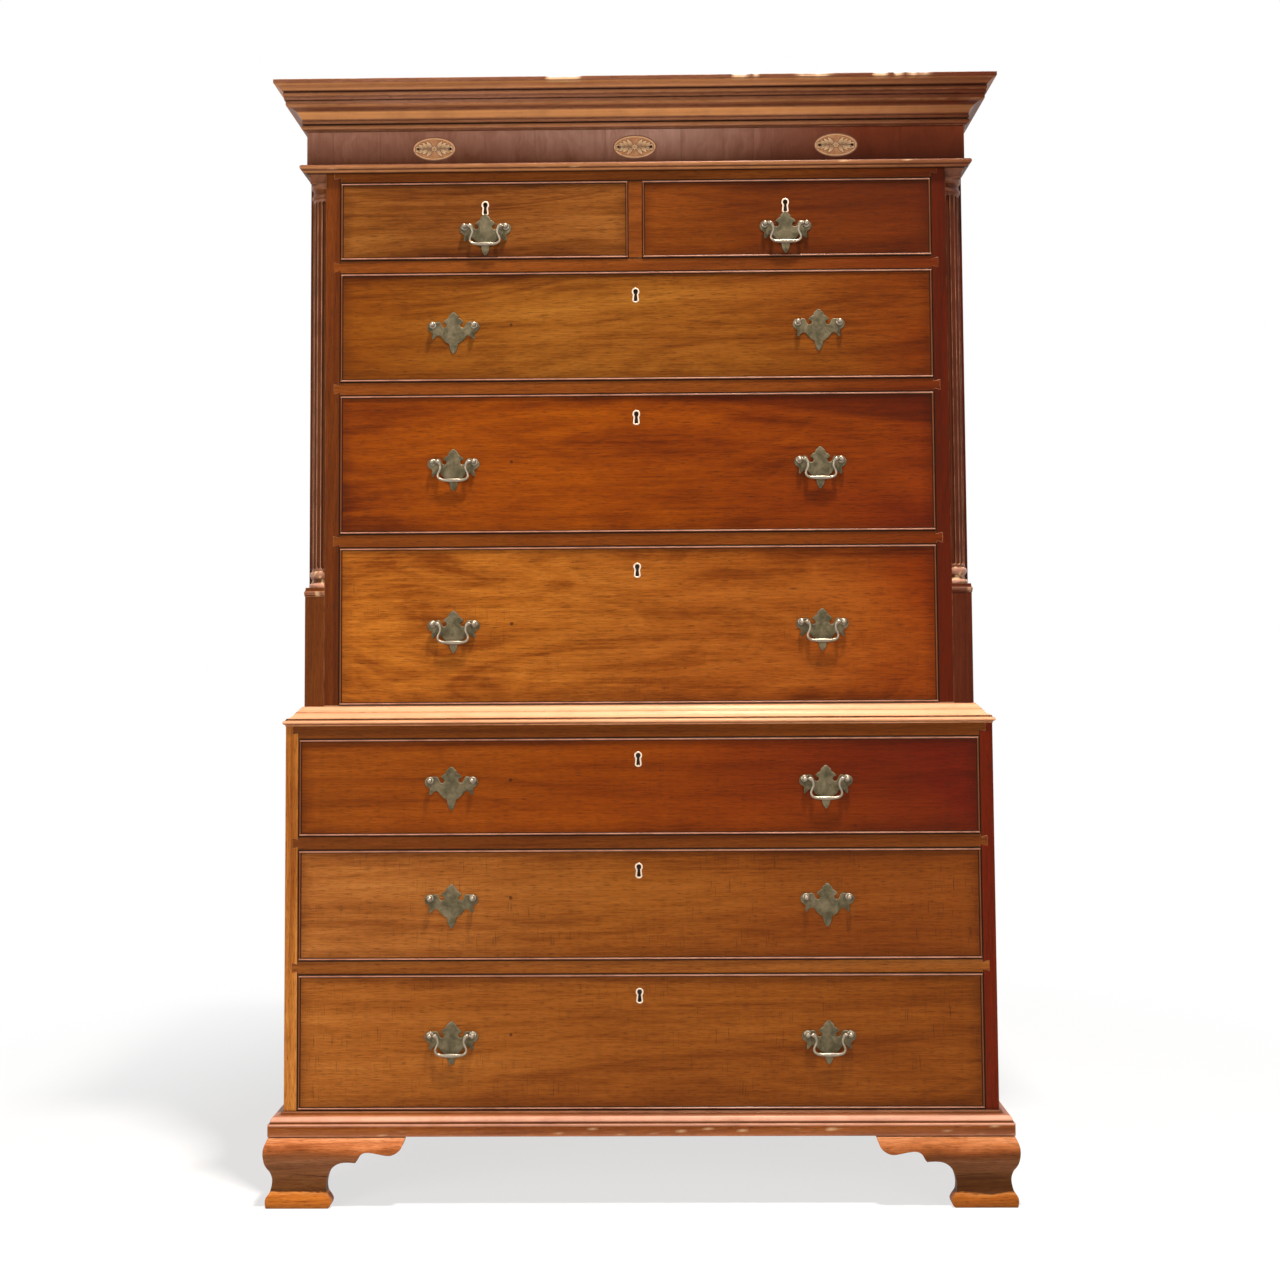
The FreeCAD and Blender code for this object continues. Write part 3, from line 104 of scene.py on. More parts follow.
class Drawer:
    """Where one drawer's front, handles and keyhole are."""

    def __init__(self, name):
        self.kind = name.split("_")[0]
        self.body = "drawer_" + name
        corner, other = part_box("drawer_%s_front" % name)
        self.left, self.right = corner.x, other.x
        self.bottom, self.top = corner.z, other.z
        self.face = corner.y + BEAD_PROUD
        self.line = (self.bottom + self.top)/2 + LINE_SHIFT[self.kind]
        self.key_z = self.top + DRAWER_GAP - KEY_DROP[self.kind]
        if self.kind == "short":
            self.key_x = -SHORT_OUT if name.endswith("left") else SHORT_OUT
            self.handles = [self.key_x]
        else:
            self.key_x = 0
            self.handles = [-HANDLE_OUT, HANDLE_OUT]


drawers = {name: Drawer(name) for name in DRAWERS}


# ---- shader graphs ----

class Field:
    """A number, place or colour in a shader graph; arithmetic on it adds nodes."""

    def __init__(self, graph, socket):
        self.graph = graph
        self.socket = socket

    def math(self, operation, other=0.0, clamp=False):
        return self.graph.field("Math", {0: self, 1: other}, operation=operation, use_clamp=clamp)

    def __add__(self, other):
        return self.math("ADD", other)

    def __sub__(self, other):
        return self.math("SUBTRACT", other)

    def __mul__(self, other):
        return self.math("MULTIPLY", other)

    def __abs__(self):
        return self.math("ABSOLUTE")

    def rest(self, clamp=False):
        """What is missing to 1."""
        return self.graph.field("Math", {0: 1.0, 1: self}, operation="SUBTRACT", use_clamp=clamp)

    def swing(self, reach):
        """A number from 0 to 1 turned into one around zero, over the reach."""
        return (self - 0.5)*reach

    def between(self, start, finish, to_start=0.0, to_finish=1.0):
        """The number mapped from one range to another, held at the ends."""
        return self.graph.field("MapRange", {0: self, 1: start, 2: finish, 3: to_start, 4: to_finish})

    def nearest(self, places):
        """How far the number is from the nearest of several."""
        gaps = [abs(self - place) for place in places]
        least = gaps[0]
        for gap in gaps[1:]:
            least = least.math("MINIMUM", gap)
        return least

    def ramp(self, stops):
        made = self.graph.add("ValToRGB", {0: self})
        points = made.color_ramp.elements
        while len(points) < len(stops):
            points.new(0.5)
        for point, (position, colour) in zip(points, stops):
            point.position = position
            point.color = tuple(colour) + (1,)
        return Field(self.graph, made.outputs[0])

    def parts(self):
        return [Field(self.graph, socket) for socket in self.graph.add("SeparateXYZ", {0: self}).outputs]

    def noise(self, scale, detail, rough, turn=0.0, warp=0.0):
        """Noise from 0 to 1 over the place, finer with scale, one number or three; turn picks a pattern."""
        place = self
        if isinstance(scale, tuple):
            place = self.graph.field("VectorMath", {0: self, 1: scale}, operation="MULTIPLY")
            scale = 1.0
        return self.graph.field("TexNoise", {"Vector": place, "W": turn, "Scale": scale, "Detail": detail,
                                             "Roughness": rough, "Distortion": warp}, noise_dimensions="4D")

    def toward(self, colour, share):
        """The colour moved towards another by a share."""
        return self.graph.mix(share, self, colour)

    def times(self, colour, share=1.0):
        """The colour multiplied by another, by a share."""
        return self.graph.mix(share, self, colour, "MULTIPLY")


class Graph:
    """A material or world whose nodes are written as plain calls."""

    def __init__(self, name, store="materials"):
        self.owner = getattr(bpy.data, store).new(name)
        self.owner.use_nodes = True
        self.tree = self.owner.node_tree
        self.tree.nodes.clear()

    def add(self, kind, inputs=None, **settings):
        made = self.tree.nodes.new("ShaderNode" + kind)
        for key, value in settings.items():
            setattr(made, key, value)
        for key, value in (inputs or {}).items():
            if isinstance(value, Field):
                self.tree.links.new(value.socket, made.inputs[key])
            else:
                made.inputs[key].default_value = value
        return made

    def field(self, kind, inputs=None, output=0, **settings):
        return Field(self, self.add(kind, inputs, **settings).outputs[output])

    def mix(self, share, first, second, blend="MIX"):
        """A colour between two; plain colours are written as three numbers."""
        ends = [end + (1,) if isinstance(end, tuple) else end for end in (first, second)]
        return self.field("Mix", {0: share, 6: ends[0], 7: ends[1]}, 2, data_type="RGBA", blend_type=blend)

    def position(self):
        return self.field("TexCoord", output="Object")

    def vector(self, x, y, z):
        return self.field("CombineXYZ", {0: x, 1: y, 2: z})

    def attribute(self, name, kind="Fac"):
        return self.field("Attribute", output=kind, attribute_name=name)

    def bump(self, height, distance, before=None):
        inputs = {"Height": height, "Distance": distance, "Strength": 1.0}
        if before is not None:
            inputs["Normal"] = before
        return self.field("Bump", inputs)

    def edges(self, radius):
        """1 on outer and inner edges, 0 on open faces, with a rounded normal."""
        rounded = self.field("Bevel", {0: radius}, samples=6)
        true = self.field("NewGeometry", output="True Normal")
        facing = self.field("VectorMath", {0: rounded, 1: true}, "Value", operation="DOT_PRODUCT")
        return facing.between(0.995, 0.86), rounded

    def crevices(self, distance):
        """1 deep in corners, 0 in the open."""
        return self.field("AmbientOcclusion", {"Distance": distance}, "AO", samples=6).rest(True)

    def surface(self, colour, rough, normal, metallic=0.0, coat=0.0, coat_rough=0.1, specular=0.5,
                tint=(1.0, 1.0, 1.0)):
        shader = self.field("BsdfPrincipled", {
            "Base Color": colour, "Roughness": rough, "Normal": normal, "Metallic": metallic,
            "Coat Weight": coat, "Coat Roughness": coat_rough, "Specular IOR Level": specular,
            "Specular Tint": tint + (1,)})
        self.add("OutputMaterial", {0: shader})
        return self.owner


# Wood tones, in linear light, with the tones of painted highlights and of dirt and painted shade.
MAUVE = (0.27, 0.105, 0.055)
WINE = (0.12, 0.022, 0.009)
BROWN = (0.29, 0.078, 0.008)
COCOA = (0.19, 0.045, 0.005)
OXBLOOD = (0.13, 0.008, 0.000)
RAW = (0.90, 0.62, 0.36)
RAW_DARK = (0.50, 0.27, 0.13)
# WORN_AND_HIGHLIGHT is the tone of worn edges and rubbed upright beads, and the ground of the waist moulding,
# pale there as a painted highlight.
WORN_AND_HIGHLIGHT = (0.62, 0.27, 0.12)
# ROSE_HIGHLIGHT is the tone of painted highlights on the horizontal cock beads, the column turnings and the
# base moulding.
ROSE_HIGHLIGHT = (0.82, 0.40, 0.27)
# MOULDING_HIGHLIGHT is the tone of the painted highlights on the cornice and the necking.
MOULDING_HIGHLIGHT = (0.68, 0.29, 0.10)
# WAIST_HIGHLIGHT is the tone of the painted highlights on the waist moulding.
WAIST_HIGHLIGHT = (0.84, 0.40, 0.215)
OAK = (0.36, 0.22, 0.105)
OAK_DARK = (0.17, 0.095, 0.045)
# DIRT_AND_SHADE darkens pores, cracks, plugged holes and joints, and is also the painted shade in corners, in
# the gaps round the drawers and in the hollows of mouldings.
DIRT_AND_SHADE = (0.020, 0.006, 0.002)

POLISH = {"coat": 0.04, "coat_rough": 0.2, "specular": 0.18, "tint": (1.0, 0.62, 0.36)}
GRAIN_ORDER = {"x": (0, 1, 2), "y": (1, 0, 2), "z": (2, 0, 1)}


def shaded(tone, share):
    return tuple(channel*share for channel in tone)


def grain_space(graph, grain):
    """Coordinates with the first along the grain: from the position, or stored in the mesh."""
    if grain == "mesh":
        return graph.attribute("wood", "Vector")
    parts = graph.position().parts()
    return graph.vector(*[parts[axis] for axis in GRAIN_ORDER[grain]])


def figure(space, seed, heart, slope, rings, wild):
    """Annual rings cut lengthwise: streaks, arches and swirls. heart is the middle of the tree."""
    along, across, other = space.parts()
    bend = space.noise((1.3, 5, 5), 2, 0.5, seed)
    sway = space.noise((0.9, 4, 4), 2, 0.5, seed + 7)
    side = across - heart[0] + bend.swing(wild)
    rise = other - heart[1] - along*slope + sway.swing(wild*1.6)
    radius = (side*side + rise*rise).math("SQRT")
    return space.graph.vector(radius*rings, along*0.7, 0.0).noise(1.0, 4, 0.62, seed + 3)


def bowed_shadow(colour, x, z, mottle, start, finish, strength):
    """A soft dark band above a line that falls from one (x, z) place to another."""
    slant = x.between(start[0], finish[0])*(finish[1] - start[1])
    above = z - (slant + start[1]) + mottle.swing(0.02)
    right = x.between(start[0] - 0.03, start[0] + 0.05)
    return colour.times((0.42, 0.25, 0.12), above.between(0.0, 0.010, 0.0, strength)*right)


def hair_cracks(place, x, z, seed):
    """Thin upright cracks that come and go."""
    warp = place.noise((12, 12, 20), 2, 0.5, seed + 41)
    faded = place.noise((7, 7, 9), 3, 0.6, seed + 43)
    hair = place.graph.vector(x*520.0 + warp*3.0, 0.0, z*26.0).noise(1.0, 1, 0.5, seed + 45)
    return hair.between(0.63, 0.70)*faded.between(0.42, 0.62)


def foot_crack(colour, x, y, z, patch):
    """The slanting joint across the front of each foot."""
    near, far = HALF - 98*MM, HALF + 4*MM
    beside = abs(x)
    fall = beside.between(near, far, 43.5*MM, 51*MM) + patch.swing(4*MM)
    crack = abs(z - fall).between(0.9*MM, 0.3*MM, 0.0, 0.8)*beside.between(far, far - 45*MM)
    return colour.toward(DIRT_AND_SHADE, crack*y.math("LESS_THAN", FRONT))


def beaded(colour, drawer, x, z, mottle, rub_and_sheen):
    """Painted shade and dirt near the cock beads of a drawer front, rubbed beads with a painted highlight on
    the horizontal ones, and painted shade in the seams beside them.
    """
    level = z.nearest((drawer.bottom, drawer.top))
    upright = x.nearest((drawer.left, drawer.right))
    rim = level.math("MINIMUM", upright)
    bead_edge = BEAD_THICK - 0.3*MM
    shaky = rim + mottle.swing(20*MM)
    # Painted shade and dirt, darker towards the beads.
    colour = colour.times((0.42, 0.30, 0.22), shaky.between(3*MM, 24*MM, 0.55, 0.0))
    colour = colour.toward((0.12, 0.022, 0.005), rim.between(BEAD_THICK, bead_edge, 0.0, 0.8))
    rubbed = rub_and_sheen.between(0.30, 0.58, 0.45, 1.0)
    colour = colour.toward(WORN_AND_HIGHLIGHT, upright.between(BEAD_THICK, bead_edge)*rubbed*0.14)
    # The horizontal beads take a painted highlight, patchy where rubbed.
    colour = colour.toward(ROSE_HIGHLIGHT, level.between(BEAD_THICK, bead_edge)*rubbed*0.50)
    # Painted shade in the gap round the front and along the inner edge of the bead.
    seam = rim.math("MINIMUM", abs(rim - (BEAD_THICK + 0.3*MM)))
    return colour.toward(DIRT_AND_SHADE, seam.between(1.0*MM, 0.5*MM, 0.0, 0.9))


def mahogany(name, tones, grain, seed, axis="x", heart=(0.12, 0.9), slope=0.04, rings=150, wild=0.10,
             sway=0.25, ragged=0.0, hairs=0.0, grime_and_shade=0.6, wear=0.5, gloss=0.32, contrast=1.0, highlight_tone=None,
             fade=1.0, drawer=None, old_hole=None, shadow=None, foot=False, lines=None):
    """Old polished mahogany. tones are (place, tone) pairs along an axis of the object; streaks,
    flecks, pores, hairline cracks, wear, dirt and painted shade in the corners are laid over them.
    grime sets how strong the dirt and painted shade in the corners are. shine is the tone of the
    painted highlights that the mesh of a moulding or turning marks as pale, and the mesh marks
    painted shade as dark. old_hole is a plugged hole: x, z and radius. shadow is a soft band: its
    two ends and its strength. lines are dark seams: their axis, their places and how far out they
    run; along the drawer openings they are painted shade in the gaps, at the top of the feet a dark
    joint."""
    graph = Graph(name)
    space = grain_space(graph, grain)
    place = graph.position()
    x, y, z = place.parts()
    by_axis = {"x": x, "y": y, "z": z}
    broad = figure(space, seed, heart, slope, rings*0.22, wild)
    fine = figure(space, seed + 90, heart, slope, rings, wild)
    streak = space.noise((3.0, 240, 240), 5, 0.7, seed + 11)
    fleck = space.noise((30, 800, 800), 2, 0.6, seed + 23)
    mottle = space.noise((9, 22, 22), 4, 0.62, seed + 17, 0.8)
    patch = space.noise((1.7, 4, 4), 3, 0.55, seed + 31)
    pits = space.noise((70, 1700, 1700), 1, 0.5, seed + 29).between(0.58, 0.66)
    # A patchy pattern of rubbing, which also breaks up the painted highlights.
    rub_and_sheen = place.noise(26, 3, 0.6, seed + 61)

    first, last = tones[0][0], tones[-1][0]
    share = by_axis[axis].between(first, last) + patch.swing(sway*2)
    share = share.math("ADD", mottle.swing(ragged), True)
    middle = share.ramp([((spot - first)/(last - first), tone) for spot, tone in tones])
    value = broad*0.58 + fine*0.26 + streak*0.24 + mottle*0.18
    value = value.between(0.63 - 0.15/contrast, 0.63 + 0.15/contrast)
    colour = middle.times((0.48, 0.34, 0.22)).toward(middle, value.between(0.0, 0.5))
    colour = colour.toward(middle.times((1.34, 1.52, 1.9)), value.between(0.5, 1.0))
    colour = colour.times((0.50, 0.34, 0.22), fleck.between(0.30, 0.56, 0.60, 0.0))
    colour = colour.times((0.78, 0.52, 0.36), patch.between(0.45, 0.78, 0.0, 0.30))
    if shadow:
        colour = bowed_shadow(colour, x, z, mottle, *shadow)
    colour = colour.toward(DIRT_AND_SHADE, pits*0.6)
    if hairs:
        cracks = hair_cracks(place, x, z, seed)
        colour = colour.toward(DIRT_AND_SHADE, cracks*hairs)
    if old_hole:
        hole_x, hole_z, radius = old_hole
        away = ((x - hole_x).math("POWER", 2.0) + (z - hole_z).math("POWER", 2.0)).math("SQRT")
        colour = colour.toward(DIRT_AND_SHADE, (away + mottle.swing(radius)).between(radius, radius*0.6, 0.0, 0.7))
    if foot:
        colour = foot_crack(colour, x, y, z, patch)

    edge, rounded = graph.edges(1.3*MM)
    # Dirt and painted shade, deep in corners and hollows.
    corner_shade_and_soil = graph.crevices(12*MM).between(0.22, 0.75)*grime_and_shade
    colour = colour.toward(DIRT_AND_SHADE, corner_shade_and_soil)
    if drawer:
        colour = beaded(colour, drawer, x, z, mottle, rub_and_sheen)
    else:
        colour = colour.toward(WORN_AND_HIGHLIGHT, edge*rub_and_sheen.between(0.42, 0.62, 0.0, wear))
    # Painted shade in the gaps along the drawer openings, and dark joints.
    if lines:
        way, seams, reach = lines
        seam = by_axis[way].nearest(seams).between(1.9*MM, 1.0*MM, 0.0, 0.92)
        colour = colour.toward(DIRT_AND_SHADE, seam*abs(x).math("LESS_THAN", reach))
    rough = patch.between(0.3, 0.7, gloss - 0.05, gloss + 0.10) + corner_shade_and_soil*0.3
    # Painted highlights where the mesh marks pale, weaker to the right by fade, and painted shade where it
    # marks dark.
    if highlight_tone:
        pale = graph.attribute("pale")*rub_and_sheen.between(0.30, 0.55, 0.72, 1.0)*x.between(0.22, 0.48, 1.0, fade)
        highlight_colour = graph.mix(value.between(0.0, 0.6, 0.55, 0.0), highlight_tone, shaded(highlight_tone, 0.5))
        bare = graph.attribute("bare")
        colour = colour.toward(highlight_colour, pale).toward(DIRT_AND_SHADE, graph.attribute("dark")*0.9)
        colour = colour.toward(graph.mix(streak, RAW, RAW_DARK), bare)
        rough = rough + bare*0.35
    normal = graph.bump(fleck*0.25 + pits.rest()*0.35, 0.12*MM, rounded)
    normal = graph.bump(space.noise((5, 16, 16), 2, 0.5, seed + 71), 0.7*MM, normal)
    if hairs:
        normal = graph.bump(cracks.rest(), 0.15*MM, normal)
    return graph.surface(colour, rough, normal, **POLISH)


def veneer(name):
    """Cross-banded curl veneer: feathered figure across each leaf, purple-brown, with painted shade towards
    the bottom and in the corners.
    """
    graph = Graph(name)
    space = graph.attribute("wood", "Vector")
    along, across, other = space.parts()
    x, y, z = graph.position().parts()
    bend = space.noise((14, 9, 9), 3, 0.6)
    broad = graph.vector(along*26.0 + bend*3.0, across*9.0, other*9.0).noise(1.0, 5, 0.6, 2, 1.2)
    fine = space.noise((330, 22, 12), 4, 0.6, 5)
    colour = (broad + fine*0.30).between(0.42, 0.90).ramp(
        [(0.0, (0.24, 0.092, 0.056)), (0.4, (0.30, 0.130, 0.086)), (1.0, (0.40, 0.190, 0.130))])
    colour = colour.times((0.66, 0.50, 0.40), graph.attribute("leaf").between(0.0, 1.0, 0.0, 0.22))
    colour = colour.times((0.46, 0.13, 0.015), x.between(0.12, 0.36, 0.0, 0.9))
    # Painted shade, darker towards the bottom of the frieze.
    shade_level = z + bend.swing(30*MM)
    colour = colour.times((0.34, 0.20, 0.12), shade_level.between(UP_TOP + 2*MM, UP_TOP + 48*MM, 0.9, 0.0))
    colour = colour.times((1.25, 1.45, 1.6), abs(x).between(0.08, 0.30).rest())
    # Painted shade and dirt in the corners.
    colour = colour.toward(DIRT_AND_SHADE, graph.crevices(8*MM).between(0.35, 0.95, 0.0, 0.7))
    normal = graph.bump(bend, 0.7*MM, graph.bump(fine, 0.08*MM))
    return graph.surface(colour, broad.between(0.3, 0.7, 0.28, 0.42), normal, **POLISH)


def oak(name, grain, seed, tone=1.0):
    """Raw oak gone brown, with open grain, saw marks, and dust and painted shade in the corners."""
    graph = Graph(name)
    space = grain_space(graph, grain)
    fibre = space.noise((9, 420, 420), 4, 0.65, seed + 3)
    patch = graph.position().noise(5, 4, 0.6, seed + 5)
    pits = space.noise((30, 900, 900), 1, 0.5, seed + 9).between(0.58, 0.68)
    value = figure(space, seed, (0.05, 0.4), 0.03, 190, 0.05)*0.6 + fibre*0.5
    colour = value.between(0.34, 0.78).ramp(
        [(0.0, shaded(OAK_DARK, tone)), (0.55, shaded(OAK, tone)), (1.0, shaded(OAK, tone*1.3))])
    colour = colour.times((0.50, 0.40, 0.32), patch.between(0.42, 0.7, 0.0, 0.55))
    colour = colour.toward((0.05, 0.03, 0.015), pits*0.6)
    # Dust and painted shade in the corners.
    colour = colour.toward((0.045, 0.03, 0.02), graph.crevices(14*MM).between(0.3, 0.95, 0.0, 0.6))
    edge, rounded = graph.edges(1.0*MM)
    colour = colour.toward((0.50, 0.34, 0.19), edge*0.35)
    saw = (space.parts()[0]*900.0 + patch*25.0).math("SINE")
    normal = graph.bump(saw, 0.03*MM, graph.bump(fibre - pits*0.6, 0.25*MM, rounded))
    return graph.surface(colour, patch.between(0.3, 0.7, 0.62, 0.80), normal, specular=0.3)


def brass(name, patina, bright, dull, gloss, metal):
    """Aged cast brass: brown skin in the open, rubbed bright on the edges, dirt in the corners."""
    graph = Graph(name)
    place = graph.position()
    cloud = place.noise(70, 4, 0.6, 0.0, 0.5)
    speck = place.noise(420, 3, 0.7, 4)
    green = place.noise(95, 2, 0.5, 9).between(0.60, 0.72, 0.0, 0.25)
    edge, rounded = graph.edges(0.7*MM)
    skin = cloud.between(0.28, 0.60, patina*0.75, patina).math("SUBTRACT", edge*0.65, True)
    tint = graph.mix(cloud.between(0.4, 0.65), dull, shaded(dull, 0.72))
    colour = graph.mix(skin, bright, tint)
    colour = colour.toward((0.06, 0.042, 0.02), speck.between(0.58, 0.70, 0.0, 0.5))
    colour = colour.toward((0.12, 0.125, 0.06), green)
    colour = colour.toward((0.02, 0.012, 0.006), graph.crevices(3*MM).between(0.3, 0.85, 0.0, 0.85))
    rough = cloud.between(0.3, 0.7, gloss, gloss + 0.14) + skin*0.12
    normal = graph.bump(speck, 0.03*MM, graph.bump(cloud, 0.3*MM, rounded))
    return graph.surface(colour, rough, normal, metallic=skin.between(0.0, 1.0, 1.0, metal), specular=0.2)


def iron(name):
    """Dark forged iron with rust bloom."""
    graph = Graph(name)
    place = graph.position()
    cloud = place.noise(90, 4, 0.65, 0.0, 0.3)
    speck = place.noise(500, 3, 0.7, 2)
    edge, rounded = graph.edges(0.5*MM)
    colour = graph.mix(cloud.between(0.45, 0.62), (0.075, 0.07, 0.068), (0.16, 0.065, 0.028))
    colour = colour.toward((0.03, 0.02, 0.016), speck.between(0.55, 0.7, 0.0, 0.6))
    colour = colour.toward((0.28, 0.27, 0.26), edge*0.5)
    normal = graph.bump(speck, 0.08*MM, rounded)
    return graph.surface(colour, cloud.between(0.3, 0.7, 0.42, 0.68), normal, metallic=0.7)


def inlay_wood(name, tone, shade, seed):
    """Pale inlay wood, scorched in hot sand towards one end where the mesh says so."""
    graph = Graph(name)
    place = graph.position()
    fine = place.noise((900, 900, 90), 3, 0.6, seed)
    cloud = place.noise(110, 4, 0.6, seed + 3, 0.8)
    colour = graph.mix(cloud.between(0.35, 0.65), tone, shade)
    colour = colour.times((0.5, 0.35, 0.2), fine.between(0.35, 0.65, 0.3, 0.0))
    colour = colour.toward((0.075, 0.028, 0.010), graph.attribute("scorch")*0.85)
    return graph.surface(colour, cloud.between(0.3, 0.7, 0.30, 0.42), graph.bump(fine, 0.05*MM), coat=0.3)


# ---- mesh tools ----

def put(name, data):
    """An object in the scene for a mesh, lamp or camera."""
    made = bpy.data.objects.new(name, data)
    bpy.context.scene.collection.objects.link(made)
    return made


def put_mesh(name, mesh, materials):
    data = bpy.data.meshes.new(name)
    mesh.to_mesh(data)
    mesh.free()
    for material in materials:
        data.materials.append(material)
    return put(name, data)


def make(name, node, material, mesh, smooth=None, body="case", others=()):
    """A piece that takes a CAD node's place and rides on a body. smooth is the sharpest angle still
    shaded round."""
    bmesh.ops.recalc_face_normals(mesh, faces=mesh.faces)
    piece = put_mesh(name, mesh, (material, *others))
    data = piece.data
    if smooth is not None:
        data.shade_smooth()
        data.set_sharp_from_angle(angle=math.radians(smooth))
    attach(piece, body)
    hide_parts(node)


def number_layer(mesh, name):
    return mesh.verts.layers.float.get(name) or mesh.verts.layers.float.new(name)


def wood_layer(mesh):
    return mesh.verts.layers.float_vector.get("wood") or mesh.verts.layers.float_vector.new("wood")


def seeded(number):
    """A steady jump in the grain for board number so and so."""
    return Vector((math.sin(number*12.9)*3.7, math.sin(number*7.3)*1.9, math.sin(number*4.1)*1.3))


def mark_wood(mesh, number, grain="z", done=()):
    """Grain coordinates for every vertex that isn't done yet."""
    layer = wood_layer(mesh)
    jump = seeded(number)
    for vert in mesh.verts:
        if vert not in done:
            vert[layer] = Vector([vert.co[axis] for axis in GRAIN_ORDER[grain]]) + jump


def plank(mesh, corner, other, grain="x", number=0, bevel=0.8*MM):
    """A board between two corners, with eased edges, whose grain runs along one axis."""
    before = set(mesh.verts)
    size = Vector([abs(b - a) for a, b in zip(corner, other)])
    matrix = Matrix.Translation((Vector(corner) + Vector(other))/2) @ Matrix.Diagonal((*size, 1))
    made = bmesh.ops.create_cube(mesh, size=1, matrix=matrix)
    rims = list({edge for vert in made["verts"] for edge in vert.link_edges})
    bmesh.ops.bevel(mesh, geom=rims, offset=min(bevel, min(size)*0.2), segments=2, affect="EDGES",
                    profile=0.5)
    mark_wood(mesh, number, grain, before)


def box_solids(node):
    """The corners of each plain board in a CAD node that is made of boards alone."""
    points = [vert.co.copy() for vert in frame["nodes"][node].data.vertices]
    corners = 24
    groups = [points[start:start + corners] for start in range(0, len(points), corners)]
    return [[Vector([pick(point[axis] for point in group) for axis in range(3)]) for pick in (min, max)]
            for group in groups]


def arcs(corners, step=12):
    """Points along an outline; a third entry is the bulge of the arc that ends at that corner."""
    points = [Vector(corners[0][:2])]
    for before, corner in zip(corners, corners[1:]):
        start, finish = Vector(before[:2]), Vector(corner[:2])
        if len(corner) == 3:
            bulge = corner[2]
            turn = 4*math.atan(bulge)
            chord = finish - start
            normal = Vector((chord.y, -chord.x))
            centre = (start + finish)/2 - normal*((1 - bulge*bulge)/(4*bulge))
            count = max(2, math.ceil(abs(math.degrees(turn))/step))
            arm = start - centre
            for index in range(1, count):
                angle = turn*index/count
                points.append(centre + Vector((arm.x*math.cos(angle) - arm.y*math.sin(angle),
                                               arm.x*math.sin(angle) + arm.y*math.cos(angle))))
        points.append(finish)
    return points


def mirrored(half, step):
    """A whole outline from its right half, which starts and ends on the middle line."""
    right = arcs(half, step)
    return right + [Vector((-point.x, point.y)) for point in right[-2:0:-1]]


def loft(mesh, loops, caps=True):
    """Faces between closed loops of equal count."""
    rings = [[mesh.verts.new(point) for point in loop] for loop in loops]
    count = len(rings[0])
    for first, second in zip(rings, rings[1:]):
        for index in range(count):
            after = (index + 1) % count
            mesh.faces.new((first[index], first[after], second[after], second[index]))
    if caps:
        mesh.faces.new(rings[0])
        mesh.faces.new(rings[-1][::-1])
    return rings


def lathe(mesh, profile, centre, count=24):
    """A turned form from (radius, depth) pairs in millimetres about an axis that runs front to back."""
    loops = []
    for radius, depth in profile:
        arm = max(radius*MM, 1e-5)
        angles = [2*math.pi*index/count for index in range(count)]
        loops.append([centre + Vector((arm*math.cos(angle), depth*MM, arm*math.sin(angle)))
                      for angle in angles])
    loft(mesh, loops)


def smooth_path(points, count):
    """A curve through the points; each point may carry further numbers, such as a radius."""
    path = []
    for index in range(len(points) - 1):
        before = points[max(index - 1, 0)]
        start, finish = points[index], points[index + 1]
        after = points[min(index + 2, len(points) - 1)]
        for step in range(count):
            share = step/count
            path.append([0.5*(2*b + (c - a)*share + (2*a - 5*b + 4*c - d)*share**2
                              + (3*b - a - 3*c + d)*share**3)
                         for a, b, c, d in zip(before, start, finish, after)])
    path.append(list(points[-1]))
    return path


# ---- materials of the case ----

def seams_of(kind, axis):
    """Where the openings of the upper or lower drawers end along an axis."""
    found = set()
    for drawer in drawers.values():
        if (drawer.kind == "lower") == (kind == "lower"):
            ends = (drawer.left, drawer.right) if axis == "x" else (drawer.bottom, drawer.top)
            found.update((round(ends[0] - DRAWER_GAP, 5), round(ends[1] + DRAWER_GAP, 5)))
    return sorted(found)


upper_seams, lower_seams = seams_of("upper", "x"), seams_of("lower", "x")
RAIL = {"sway": 0.02, "rings": 170, "wild": 0.05, "grime_and_shade": 0.85, "wear": 0.7}
UPRIGHT = {"sway": 0.05, "heart": (0.9, 0.05), "wild": 0.14, "wear": 0.6}
upper_rail = mahogany(
    "mahogany_upper_rails", [(-0.5, COCOA), (0.2, COCOA), (0.5, (0.13, 0.016, 0.001))], "x", 3.0,
    lines=("z", seams_of("upper", "z"), upper_seams[-1]), **RAIL)
lower_rail = mahogany(
    "mahogany_lower_rails",
    [(0.0, COCOA), (0.34, (0.22, 0.06, 0.006)), (0.40, (0.30, 0.098, 0.019)), (0.50, (0.145, 0.034, 0.004)),
     (0.80, (0.15, 0.036, 0.004))],
    "x", 5.0, axis="z", lines=("z", seams_of("lower", "z"), lower_seams[-1]), **RAIL)
lower_upright = mahogany(
    "mahogany_lower_sides", [(-0.55, (0.52, 0.19, 0.033)), (-0.5, BROWN), (0.5, OXBLOOD), (0.55, OXBLOOD)],
    "z", 9.0, lines=("x", lower_seams, 1.0), **UPRIGHT)
upper_upright = mahogany(
    "mahogany_upper_sides",
    [(-0.53, (0.137, 0.029, 0.003)), (0.35, (0.105, 0.010, 0.001)), (0.53, (0.068, 0.004, 0.0))],
    "z", 13.0, lines=("x", (upper_seams[0], upper_seams[-1]), 1.0), **UPRIGHT)
